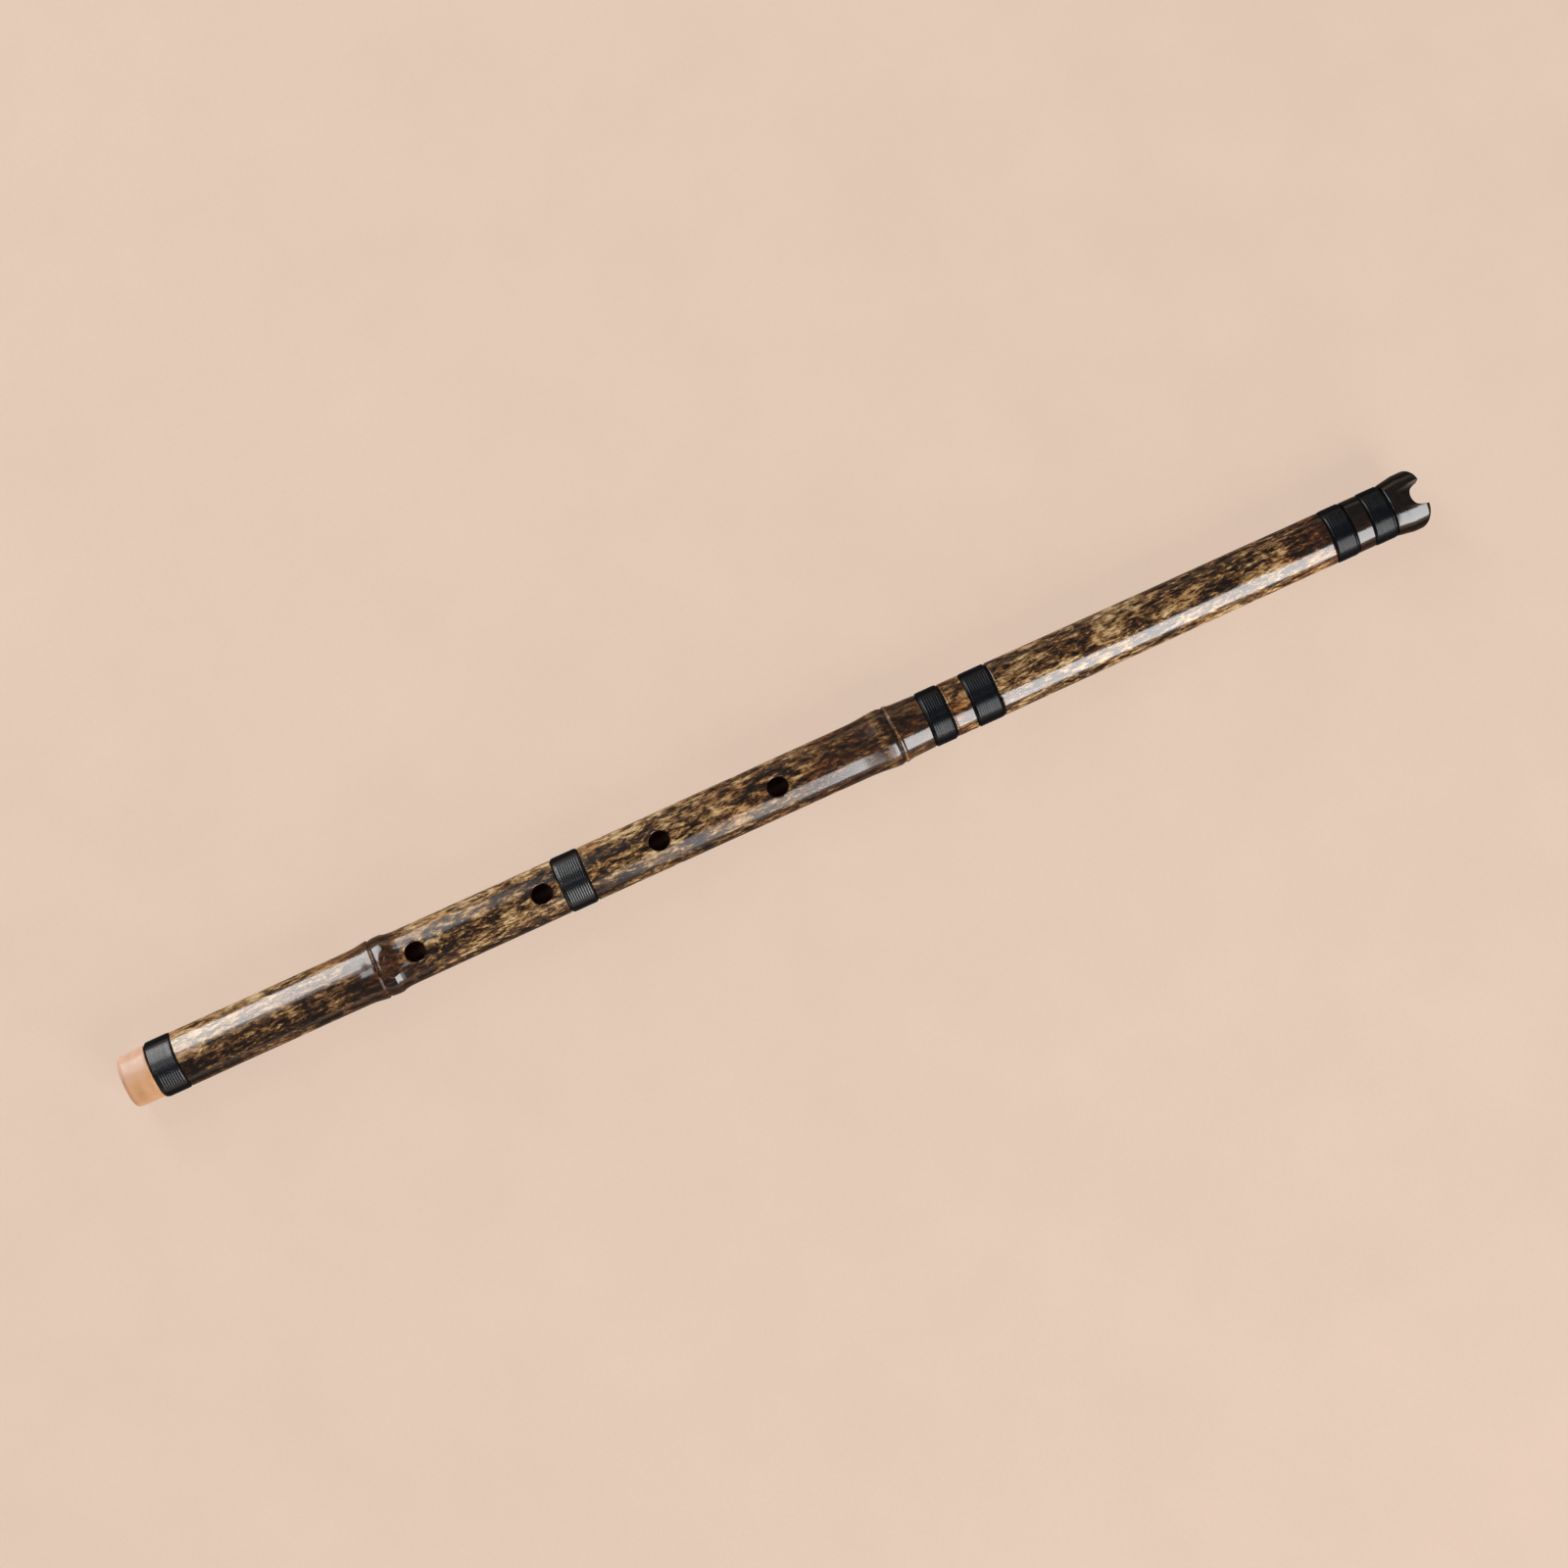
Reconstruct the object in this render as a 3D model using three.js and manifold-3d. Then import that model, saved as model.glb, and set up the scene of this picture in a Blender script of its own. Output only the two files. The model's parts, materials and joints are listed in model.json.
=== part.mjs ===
// End-blown bamboo flute in two sections, with four finger holes in front and one thumb hole behind.
// Millimetres. It lies on its two nodes: +X runs from the foot to the mouth, +Z out of the finger holes.
// Each piece is drawn about the bore, which runs along +Y, with its front to +Z, and the last group lays
// the flute down. A station is a distance along the bore from the foot face.
import * as THREE from "three";
import { mergeVertices } from "three/addons/utils/BufferGeometryUtils.js";
import Module from "manifold-3d";

const wasm = await Module();
wasm.setup();

// Facets: round pieces have this many sides, all in step, with one flat side down
const sideCount = 32;
const holeSides = 24;
const notchSteps = 12;
const cutOverrun = 3;

// Whole flute
const fluteLength = 545;
const boreRadius = 6.9;
const glueGap = 0.2;

// Outside of the culm
const footCulmRadius = 11.1;
const middleCulmRadius = 10.95;
const seamCulmStep = 0.2;
const upperCulmRadius = 10.45;
const flareRadius = 11.7;
const internodeWaist = 0.12;
const internodeShares = [0, 0.12, 0.5, 0.88, 1];

// Nodes of the culm: a slow swelling on the foot side, two rings with a crease between, and a short fall
const nodeRadius = 11.97;
const nodeSwelling = 7;
const nodeWidth = 6.4;
const nodeFall = 3.6;
const nodeCrease = 0.45;
const nodeCreaseWidth = 0.8;
const nodeCrestWidth = 1.28;
const swellingShares = [[0.35, 0.14], [0.65, 0.5], [0.88, 0.88]];
const fallShares = [[0.12, 0.88], [0.4, 0.42], [0.7, 0.1]];
const nodeOneToHole = 13.9;
const nodeTwoToSeam = 25.3;

// Groove that the bud leaves on the front of the culm, from the first node's last ring on
const budGrooveLength = 42;
const budGrooveDepth = 0.9;
const budGrooveHalfAngle = THREE.MathUtils.degToRad(34);
const budGrooveRiseShare = 0.06;
const budGrooveShares = [0.12, 0.2, 0.35, 0.6, 0.95];

// Finger holes, at shares of the flute's length, and the thumb hole behind
const fingerHoleShares = [0.222, 0.3185, 0.4083, 0.4993];
const thumbHoleShare = 0.557;
const holeLength = 8.6;
const holeWidth = 7.4;
const holeChamfer = 0.3;

// Joint between the sections: a tenon glued in the upper one slides in a lined socket in the lower one
const thumbHoleToSeam = 41.2;
const seamGap = 0.3;
const tenonWall = 1.15;
const tenonInsertion = 28;
const tenonSeatDepth = 20;
const tenonChamfer = 0.5;
const slideGap = 0.25;
const linerWall = 0.7;
const corkLength = 12;
const corkFromTip = 8;
const corkGrooveDepth = 0.55;
const corkClearance = 0.12;

// Ring on the foot
const ringLength = 11.6;
const ringRadius = 10.45;
const ringEndWall = 2;
const ringRounding = 1.6;
const ringRoundingShares = [0, 0.33, 0.67, 1];
const spigotRadius = 8.7;

// Bindings: flat cord wound in recesses turned in the culm
const cordWidth = 1.45;
const cordHeight = 0.9;
const cordSpacing = 0.47;
const cordSideGap = 0.3;
const cordFloorGap = 0.25;
const cordProud = 0.35;
const stepsInTurn = 24;
const footBindingTurns = 4.625;
const wideBindingTurns = 5;
const narrowBindingTurns = 4;
const holeBindingPastHole = 3;
const seamLip = 0.8;
const upperBindingPastSeam = 7.6;
const mouthBindingFromEnd = 14.1;
const neckBindingFromEnd = 30.4;

// Mouth: a flared end with a rounded rim, cut to slope down behind for the chin, and a gouged
// blowing notch in front. The slope starts so far in front of the bore's middle. The mouth is set
// turned a little from the line of the finger holes, to the right of the player.
const mouthBoreRadius = 7.6;
const rimLength = 1.6;
const rimInset = 1.4;
const rimShares = [0.25, 0.5, 0.75, 1];
const flareShares = [[0, 0.35], [0.5, 0.85], [1, 1]];
const mouthBoreLength = 16;
const notchDepth = 5.4;
const notchFloorWidth = 5.2;
const notchCornerRadius = 2;
const notchWallLean = THREE.MathUtils.degToRad(12);
const notchSlope = THREE.MathUtils.degToRad(28);
const chinStart = 8.4;
const chinSlope = THREE.MathUtils.degToRad(17);
const mouthTurn = THREE.MathUtils.degToRad(6.5);

// Stations and radii that the sizes above give
const seamCulmRadius = middleCulmRadius - seamCulmStep;
const cordPitch = cordWidth + cordSpacing;
const bindingLength = (turns) => turns * cordPitch + cordWidth + 2 * cordSideGap;
const recessDepth = cordHeight + cordFloorGap - cordProud;
const fingerStations = fingerHoleShares.map((share) => share * fluteLength);
const thumbStation = thumbHoleShare * fluteLength;
const seamStation = thumbStation + thumbHoleToSeam;
const socketFloorStation = seamStation - tenonInsertion - seamGap;
const nodeOneStation = fingerStations[0] - nodeOneToHole;
const nodeTwoStation = seamStation - nodeTwoToSeam;
const grooveStart = nodeOneStation + nodeWidth / 2;
const shoulderStation = ringLength + glueGap;
const holeBindingStation = fingerStations[1] + holeLength / 2 + holeBindingPastHole;
const lowerSeamBindingStation = seamStation - seamLip - bindingLength(narrowBindingTurns);
const upperSeamBindingStation = seamStation + upperBindingPastSeam;
const neckBindingStation = fluteLength - neckBindingFromEnd - bindingLength(narrowBindingTurns);
const mouthBindingStation = fluteLength - mouthBindingFromEnd - bindingLength(narrowBindingTurns);

// Radii round the joint, from the bore outwards
const tenonRadius = boreRadius + tenonWall;
const linerBoreRadius = tenonRadius + slideGap;
const linerRadius = linerBoreRadius + linerWall;
const socketRadius = linerRadius + glueGap;
const tenonSeatRadius = tenonRadius + glueGap;
const corkGrooveRadius = tenonRadius - corkGrooveDepth;

// Materials
const bamboo = new THREE.MeshStandardMaterial({ color: 0x5c3d22, roughness: 0.3, metalness: 0 });
const blackCord = new THREE.MeshStandardMaterial({ color: 0x14171b, roughness: 0.45, metalness: 0 });
const paleResin = new THREE.MeshStandardMaterial({ color: 0xdfa57a, roughness: 0.35, metalness: 0 });
const brass = new THREE.MeshStandardMaterial({ color: 0xb08d4a, roughness: 0.3, metalness: 1 });
const cork = new THREE.MeshStandardMaterial({ color: 0xb98a5b, roughness: 0.9, metalness: 0 });

// A closed geometry as a solid that can be cut, and back
function toSolid(geometry) {
  const plain = geometry.index ? geometry.toNonIndexed() : geometry.clone();
  plain.deleteAttribute("normal");
  plain.deleteAttribute("uv");
  const merged = mergeVertices(plain, 1e-4);
  const triVerts = new Uint32Array(merged.index.array);
  const mesh = new wasm.Mesh({ numProp: 3, vertProperties: merged.attributes.position.array, triVerts });
  return new wasm.Manifold(mesh);
}

function toGeometry(solid) {
  const mesh = solid.getMesh();
  const geometry = new THREE.BufferGeometry();
  geometry.setAttribute("position", new THREE.BufferAttribute(mesh.vertProperties, 3));
  geometry.setIndex(new THREE.BufferAttribute(mesh.triVerts, 1));
  const flat = geometry.toNonIndexed();
  flat.computeVertexNormals();
  return flat;
}

function cutFrom(geometry, cutters) {
  const solid = cutters.reduce((left, cutter) => left.subtract(toSolid(cutter)), toSolid(geometry));
  return toGeometry(solid);
}

// Closed skin through rings of as many points each, which run anticlockwise seen from the last ring's side
function loft(rings) {
  const sides = rings[0].length;
  const positions = rings.flat().flatMap((point) => point.toArray());
  const index = [];
  for (let i = 0; i + 1 < rings.length; i += 1) {
    for (let k = 0; k < sides; k += 1) {
      const a = i * sides + k;
      const b = i * sides + ((k + 1) % sides);
      index.push(a, b, b + sides, a, b + sides, a + sides);
    }
  }
  const last = (rings.length - 1) * sides;
  for (let k = 1; k + 1 < sides; k += 1) {
    index.push(0, k + 1, k);
    index.push(last, last + k, last + k + 1);
  }
  const geometry = new THREE.BufferGeometry();
  geometry.setAttribute("position", new THREE.Float32BufferAttribute(positions, 3));
  geometry.setIndex(index);
  return geometry;
}

// A tube turned from an outside and an inside profile, both [station, radius] from the foot end up
function turnedTube(outside, inside) {
  const loop = [...outside, ...[...inside].reverse(), outside[0]];
  const points = loop.map(([station, radius]) => new THREE.Vector2(radius, station));
  return new THREE.LatheGeometry(points, sideCount, Math.PI / sideCount);
}

// Profile of a stretch of culm between two stations, a little waisted
function internode(from, to, radiusFrom, radiusTo) {
  return internodeShares.map((share) => {
    const waist = internodeWaist * Math.sin(Math.PI * share);
    return [
      THREE.MathUtils.lerp(from, to, share),
      THREE.MathUtils.lerp(radiusFrom, radiusTo, share) - waist,
    ];
  });
}

// Profile of a node: its crease lies at the given station, between two rings
function node(station, radiusBefore, radiusAfter) {
  const firstRing = station - nodeWidth / 2;
  const secondRing = station + nodeWidth / 2;
  return [
    [firstRing - nodeSwelling, radiusBefore],
    ...swellingShares.map(([along, up]) => [
      firstRing - nodeSwelling * (1 - along),
      THREE.MathUtils.lerp(radiusBefore, nodeRadius, up),
    ]),
    [firstRing, nodeRadius],
    [firstRing + nodeCrestWidth, nodeRadius],
    [station - nodeCreaseWidth / 2, nodeRadius - nodeCrease],
    [station + nodeCreaseWidth / 2, nodeRadius - nodeCrease],
    [secondRing - nodeCrestWidth, nodeRadius],
    [secondRing, nodeRadius],
    ...fallShares.map(([along, down]) => [
      secondRing + nodeFall * along,
      THREE.MathUtils.lerp(radiusAfter, nodeRadius, down),
    ]),
    [secondRing + nodeFall, radiusAfter],
  ];
}

const nodeStart = (station) => station - nodeWidth / 2 - nodeSwelling;
const nodeEnd = (station) => station + nodeWidth / 2 + nodeFall;

// Profile of the recess under a binding
function recess(station, turns, radius) {
  const end = station + bindingLength(turns);
  return [
    [station, radius],
    [station, radius - recessDepth],
    [end, radius - recessDepth],
    [end, radius],
  ];
}

// Depth of the bud's groove at the front of the culm, greatest just past the node's last ring
function grooveDepthAt(station) {
  const share = (station - grooveStart) / budGrooveLength;
  if (share < 0 || share > 1) return 0;
  return budGrooveDepth * Math.min(1, share / budGrooveRiseShare) * (1 - share);
}

// Presses the groove into a turned culm
function pressBudGroove(geometry) {
  const position = geometry.attributes.position;
  for (let i = 0; i < position.count; i += 1) {
    const across = position.getX(i);
    const front = position.getZ(i);
    const turn = Math.abs(Math.atan2(across, front)) / budGrooveHalfAngle;
    const radius = Math.hypot(across, front);
    if (turn > 1 || radius < socketRadius) continue;
    const depth = grooveDepthAt(position.getY(i)) * Math.cos((Math.PI / 2) * turn) ** 2;
    position.setX(i, across * (1 - depth / radius));
    position.setZ(i, front * (1 - depth / radius));
  }
  return geometry;
}

// Points of an oval about a station, a margin outside the hole, as high above the bore as heightAt says
function ovalRing(station, margin, heightAt) {
  return Array.from({ length: holeSides }, (_, k) => {
    const turn = (k / holeSides) * Math.PI * 2;
    const across = (holeWidth / 2 + margin) * Math.cos(turn);
    const along = (holeLength / 2 + margin) * Math.sin(turn);
    return new THREE.Vector3(across, station + along, heightAt(across));
  });
}

// Cutter for an oval hole through one wall, its edge chamfered evenly round the culm
function holeCutter(station, culmRadius) {
  const surface = (across) => Math.sqrt(culmRadius ** 2 - across ** 2);
  return loft([
    ovalRing(station, 0, () => 0),
    ovalRing(station, 0, (across) => surface(across) - holeChamfer),
    ovalRing(station, holeChamfer, surface),
    ovalRing(station, holeChamfer + cutOverrun, () => culmRadius + cutOverrun),
  ]);
}

// Cutter for the blowing notch: a flat-floored trough with round corners and walls that lean
// outwards, which slopes down into the bore towards the end
function notchCutter() {
  const height = 2 * flareRadius;
  const corner = notchFloorWidth / 2;
  const wallFoot = corner + notchCornerRadius * Math.cos(notchWallLean);
  const wallTop = wallFoot + height * Math.tan(notchWallLean);
  const lowest = (Math.PI * 3) / 2;
  const trough = new THREE.Shape();
  trough.moveTo(wallTop, height);
  trough.lineTo(-wallTop, height);
  trough.absarc(-corner, notchCornerRadius, notchCornerRadius, Math.PI + notchWallLean, lowest, false);
  trough.absarc(corner, notchCornerRadius, notchCornerRadius, lowest, Math.PI * 2 - notchWallLean, false);
  const inward = (notchDepth + cutOverrun) / Math.cos(notchSlope);
  const outward = 2 * flareRadius;
  const depth = inward + outward;
  return new THREE.ExtrudeGeometry(trough, { depth, bevelEnabled: false, curveSegments: notchSteps })
    .translate(0, 0, -inward)
    .rotateX(Math.PI / 2 - notchSlope)
    .translate(0, fluteLength - notchDepth, mouthBoreRadius)
    .rotateY(-mouthTurn);
}

// Cutter for the slope of the end, down to where the chin rests behind
function chinCutter() {
  const reach = chinStart + flareRadius + cutOverrun;
  const slope = new THREE.Shape();
  slope.moveTo(fluteLength, chinStart);
  slope.lineTo(fluteLength - reach * Math.tan(chinSlope), chinStart - reach);
  slope.lineTo(fluteLength + cutOverrun, chinStart - reach);
  slope.lineTo(fluteLength + cutOverrun, chinStart);
  const depth = 2 * (flareRadius + cutOverrun);
  const turned = new THREE.Matrix4().makeBasis(
    new THREE.Vector3(0, 1, 0),
    new THREE.Vector3(0, 0, 1),
    new THREE.Vector3(1, 0, 0),
  );
  return new THREE.ExtrudeGeometry(slope, { depth, bevelEnabled: false })
    .translate(0, 0, -depth / 2)
    .applyMatrix4(turned)
    .rotateY(-mouthTurn);
}

function lowerSection() {
  const footBinding = recess(shoulderStation, footBindingTurns, footCulmRadius);
  const outside = [
    [ringEndWall + glueGap, spigotRadius],
    [shoulderStation, spigotRadius],
    ...footBinding.slice(1, 3),
    ...internode(footBinding[3][0], nodeStart(nodeOneStation), footCulmRadius, footCulmRadius).slice(0, -1),
    ...node(nodeOneStation, footCulmRadius, middleCulmRadius),
    ...budGrooveStations(),
    ...recess(holeBindingStation, wideBindingTurns, middleCulmRadius),
    ...internode(
      holeBindingStation + bindingLength(wideBindingTurns),
      nodeStart(nodeTwoStation),
      middleCulmRadius,
      footCulmRadius,
    ).slice(1, -1),
    ...node(nodeTwoStation, footCulmRadius, middleCulmRadius),
    ...recess(lowerSeamBindingStation, narrowBindingTurns, middleCulmRadius),
    [seamStation, middleCulmRadius],
  ];
  const inside = [
    [ringEndWall + glueGap, boreRadius],
    [socketFloorStation, boreRadius],
    [socketFloorStation, socketRadius],
    [seamStation, socketRadius],
  ];
  const culm = pressBudGroove(turnedTube(outside, inside));
  const fingerHoles = fingerStations.map((station) =>
    holeCutter(station, middleCulmRadius - grooveDepthAt(station)),
  );
  const thumbHole = holeCutter(thumbStation, middleCulmRadius).rotateY(Math.PI);
  return cutFrom(culm, [...fingerHoles, thumbHole]);
}

// Profile between the first node and the binding past the second hole, with points along the groove
function budGrooveStations() {
  return budGrooveShares.map((share) => [grooveStart + share * budGrooveLength, middleCulmRadius]);
}

function upperSection() {
  const start = seamStation + seamGap;
  const seatFloor = seamStation + tenonSeatDepth + glueGap;
  const upperBinding = recess(upperSeamBindingStation, wideBindingTurns, seamCulmRadius);
  const rim = rimShares.map((share) => {
    const turn = (share * Math.PI) / 2;
    return [fluteLength - rimLength * (1 - Math.sin(turn)), flareRadius - rimInset * (1 - Math.cos(turn))];
  });
  const mouthBindingEnd = mouthBindingStation + bindingLength(narrowBindingTurns);
  const rimStart = fluteLength - rimLength;
  const outside = [
    [start, seamCulmRadius],
    ...upperBinding,
    ...internode(upperBinding[3][0], neckBindingStation, seamCulmRadius, upperCulmRadius).slice(1, -1),
    ...recess(neckBindingStation, narrowBindingTurns, upperCulmRadius),
    ...recess(mouthBindingStation, narrowBindingTurns, upperCulmRadius).slice(0, 3),
    ...flareShares.map(([along, up]) => [
      THREE.MathUtils.lerp(mouthBindingEnd, rimStart, along),
      THREE.MathUtils.lerp(upperCulmRadius, flareRadius, up),
    ]),
    ...rim,
  ];
  const inside = [
    [start, tenonSeatRadius],
    [seatFloor, tenonSeatRadius],
    [seatFloor, boreRadius],
    [fluteLength - mouthBoreLength, boreRadius],
    [fluteLength, mouthBoreRadius],
  ];
  return cutFrom(turnedTube(outside, inside), [notchCutter(), chinCutter()]);
}

function footRing() {
  const seatRadius = spigotRadius + glueGap;
  const rounded = ringRoundingShares.map((share) => {
    const turn = (share * Math.PI) / 2;
    return [ringRounding * (1 - Math.sin(turn)), ringRadius - ringRounding * (1 - Math.cos(turn))];
  });
  const outside = [...rounded.reverse(), [ringLength, ringRadius]];
  const inside = [
    [0, boreRadius],
    [ringEndWall, boreRadius],
    [ringEndWall, seatRadius],
    [ringLength, seatRadius],
  ];
  return turnedTube(outside, inside);
}

function tenon() {
  const tip = seamStation - tenonInsertion;
  const top = seamStation + tenonSeatDepth;
  const groove = tip + corkFromTip;
  const outside = [
    [tip, tenonRadius - tenonChamfer],
    [tip + tenonChamfer, tenonRadius],
    [groove, tenonRadius],
    [groove, corkGrooveRadius],
    [groove + corkLength + 2 * glueGap, corkGrooveRadius],
    [groove + corkLength + 2 * glueGap, tenonRadius],
    [top, tenonRadius],
  ];
  return turnedTube(outside, [[tip, boreRadius], [top, boreRadius]]);
}

function tenonCork() {
  const start = seamStation - tenonInsertion + corkFromTip + glueGap;
  const end = start + corkLength;
  const outer = linerBoreRadius - corkClearance;
  const inner = corkGrooveRadius + glueGap;
  return turnedTube([[start, outer], [end, outer]], [[start, inner], [end, inner]]);
}

function socketLiner() {
  const start = socketFloorStation + glueGap;
  const end = seamStation - glueGap / 2;
  const wall = (radius) => [[start, radius], [end, radius]];
  return turnedTube(wall(linerRadius), wall(linerBoreRadius));
}

// Six-sided section of the flat cord: [along the bore, outwards], about its middle
const cordSection = [
  [-cordWidth / 2, 0],
  [-cordWidth / 4, -cordHeight / 2],
  [cordWidth / 4, -cordHeight / 2],
  [cordWidth / 2, 0],
  [cordWidth / 4, cordHeight / 2],
  [-cordWidth / 4, cordHeight / 2],
];

// Rings of section points along a binding's cord: its turns, and a straight cord width at each end
function cordRings(station, turns, radius) {
  const start = station + cordSideGap + cordWidth / 2;
  const steps = turns * stepsInTurn;
  const ringAt = (step, run) => {
    const turn = (step / stepsInTurn) * Math.PI * 2 + Math.PI / stepsInTurn;
    const outwards = new THREE.Vector3(Math.sin(turn), 0, Math.cos(turn));
    const onwards = new THREE.Vector3(Math.cos(turn), 0, -Math.sin(turn));
    return cordSection.map(([along, out]) =>
      outwards
        .clone()
        .multiplyScalar(radius + out)
        .addScaledVector(onwards, run)
        .setY(start + (step / stepsInTurn) * cordPitch + along),
    );
  };
  const turned = Array.from({ length: steps + 1 }, (_, step) => ringAt(step, 0));
  return [ringAt(0, -cordWidth), ...turned, ringAt(steps, cordWidth)];
}

// Least distance from a cord's section points to those at least half a turn further on
function leastGap(rings) {
  let least = Infinity;
  const apart = stepsInTurn / 2;
  for (let i = 0; i < rings.length; i += 1) {
    for (let j = i + apart; j < rings.length; j += 1) {
      for (const a of rings[i]) {
        for (const b of rings[j]) {
          least = Math.min(least, a.distanceTo(b));
        }
      }
    }
  }
  return least;
}

function binding(name, station, turns, culmRadius) {
  const rings = cordRings(station, turns, culmRadius + cordProud - cordHeight / 2);
  console.log(`${name}: least gap between turns ${leastGap(rings).toFixed(3)} mm`);
  return piece(name, toGeometry(toSolid(loft(rings))), blackCord);
}

function piece(name, geometry, material) {
  const mesh = new THREE.Mesh(geometry, material);
  mesh.name = name;
  return mesh;
}

// The two sections, each with what is fixed to it
const lower = new THREE.Group();
lower.add(
  piece("lower_section", lowerSection(), bamboo),
  piece("foot_ring", footRing(), paleResin),
  piece("socket_liner", socketLiner(), brass),
  binding("foot_binding", shoulderStation, footBindingTurns, footCulmRadius),
  binding("hole_binding", holeBindingStation, wideBindingTurns, middleCulmRadius),
  binding("lower_seam_binding", lowerSeamBindingStation, narrowBindingTurns, middleCulmRadius),
);

const upper = new THREE.Group();
upper.add(
  piece("upper_section", upperSection(), bamboo),
  piece("tenon", tenon(), brass),
  piece("tenon_cork", tenonCork(), cork),
  binding("upper_seam_binding", upperSeamBindingStation, wideBindingTurns, seamCulmRadius),
  binding("neck_binding", neckBindingStation, narrowBindingTurns, upperCulmRadius),
  binding("mouth_binding", mouthBindingStation, narrowBindingTurns, upperCulmRadius),
);

// Laid on its nodes, with the middle of its length over the origin
const flute = new THREE.Group();
flute.add(lower, upper);
flute.rotation.z = -Math.PI / 2;
flute.position.set(-fluteLength / 2, 0, nodeRadius * Math.cos(Math.PI / sideCount));

const model = new THREE.Group();
model.add(flute);

export default model;
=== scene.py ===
"""Dresses an end-blown bamboo flute: two lacquered culm sections with their nodes and holes, wound
black bindings, a pale foot ring and the brass and cork of the joint, on a plain pale floor.

Sizes are millimetres unless they say otherwise. A station is a distance along the bore from the
foot face, and a turn is an angle round the bore from the front, where the finger holes are,
towards +Y."""

import json
import math

import bpy
import numpy as np
from bpy.props import FloatProperty, FloatVectorProperty, PointerProperty
from mathutils import Matrix, Vector


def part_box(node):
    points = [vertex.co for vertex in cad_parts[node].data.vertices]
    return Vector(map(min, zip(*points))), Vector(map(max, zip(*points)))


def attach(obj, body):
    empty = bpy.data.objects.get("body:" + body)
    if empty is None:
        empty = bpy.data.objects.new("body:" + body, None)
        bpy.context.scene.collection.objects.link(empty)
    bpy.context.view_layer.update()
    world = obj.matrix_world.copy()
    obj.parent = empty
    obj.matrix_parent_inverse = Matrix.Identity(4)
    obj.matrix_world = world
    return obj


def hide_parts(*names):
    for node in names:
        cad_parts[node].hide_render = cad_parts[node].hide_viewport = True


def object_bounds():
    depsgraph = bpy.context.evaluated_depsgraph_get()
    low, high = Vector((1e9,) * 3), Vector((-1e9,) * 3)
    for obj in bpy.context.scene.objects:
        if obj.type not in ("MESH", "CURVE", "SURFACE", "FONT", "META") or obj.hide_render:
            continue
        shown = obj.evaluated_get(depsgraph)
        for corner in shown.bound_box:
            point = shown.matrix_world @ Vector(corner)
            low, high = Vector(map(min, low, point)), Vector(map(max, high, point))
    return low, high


bl_info = {
    "name": "Bamboo Flute Dressing",
    "version": (1, 0, 0),
    "blender": (4, 5, 0),
    "location": "3D View > Sidebar > Flute",
    "description": "Builds the visible pieces and finishes of an end-blown bamboo flute",
    "category": "Object",
}

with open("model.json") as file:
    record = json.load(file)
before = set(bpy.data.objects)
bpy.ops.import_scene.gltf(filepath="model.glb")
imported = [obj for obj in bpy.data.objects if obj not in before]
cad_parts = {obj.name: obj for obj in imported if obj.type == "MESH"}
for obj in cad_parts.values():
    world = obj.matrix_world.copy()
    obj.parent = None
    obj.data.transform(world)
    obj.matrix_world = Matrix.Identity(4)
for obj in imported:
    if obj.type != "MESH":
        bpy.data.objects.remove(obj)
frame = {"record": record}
CAD_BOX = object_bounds()

MM = 0.001
FULL_TURN = 2 * math.pi

# The frame's foot face and bore axis in metres, and the flute's length
FOOT_X = CAD_BOX[0].x
AXIS_HEIGHT = (CAD_BOX[0].z + CAD_BOX[1].z) / 2
FLUTE_LENGTH = (CAD_BOX[1].x - CAD_BOX[0].x) / MM

# The dressing stays this far inside the CAD box, so its radius is never more than this
BOX_MARGIN = 0.01
MOST_RADIUS = (CAD_BOX[1].y - CAD_BOX[0].y) / 2 / MM - BOX_MARGIN

# Radii of the bore at the mouth and of the culm on both sides of the seam
MOUTH_BORE = 7.6
SEAM_RADIUS = 10.82

# Gap round the liner and the tenon where they are seated in the culm
SEAT_GAP = 0.15

# How finely things are made: sides of a round, the step of a profile and its greatest error
CULM_SIDES = 180
TURNED_SIDES = 96
PROFILE_STEP = 0.05
PROFILE_ERROR = 0.008
LONGEST_RING = 1.6
SIDE_TURNS = np.arange(CULM_SIDES) / CULM_SIDES * FULL_TURN

# Edges that turn by more degrees than this stay sharp, on a plain piece and on a carved one
SHARP_EDGE = 35
CARVED_SHARP_EDGE = 38


# Where things are on the CAD frame


def station_of(x):
    """Station in millimetres of a place along the frame's X."""
    return (x - FOOT_X) / MM


def span(node):
    """Stations where a CAD node starts and ends, and its outside radius, in millimetres."""
    low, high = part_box(node)
    return station_of(low.x), station_of(high.x), (high.y - low.y) / 2 / MM


def opening_station(name):
    """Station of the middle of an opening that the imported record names."""
    for opening in frame["record"]["physics"]["openings"]:
        if opening["name"] == name:
            low, high = opening["box_m"]
            return station_of((low[0] + high[0]) / 2)
    raise KeyError(f"the record has no opening named {name}")


def placed(station, radius, turn):
    """Points in metres from stations, radii and turns."""
    station, radius, turn = np.broadcast_arrays(station, radius, turn)
    x = FOOT_X + station * MM
    y = radius * np.sin(turn) * MM
    z = AXIS_HEIGHT + radius * np.cos(turn) * MM
    return np.stack([x, y, z], axis=-1)


# Profiles


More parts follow.
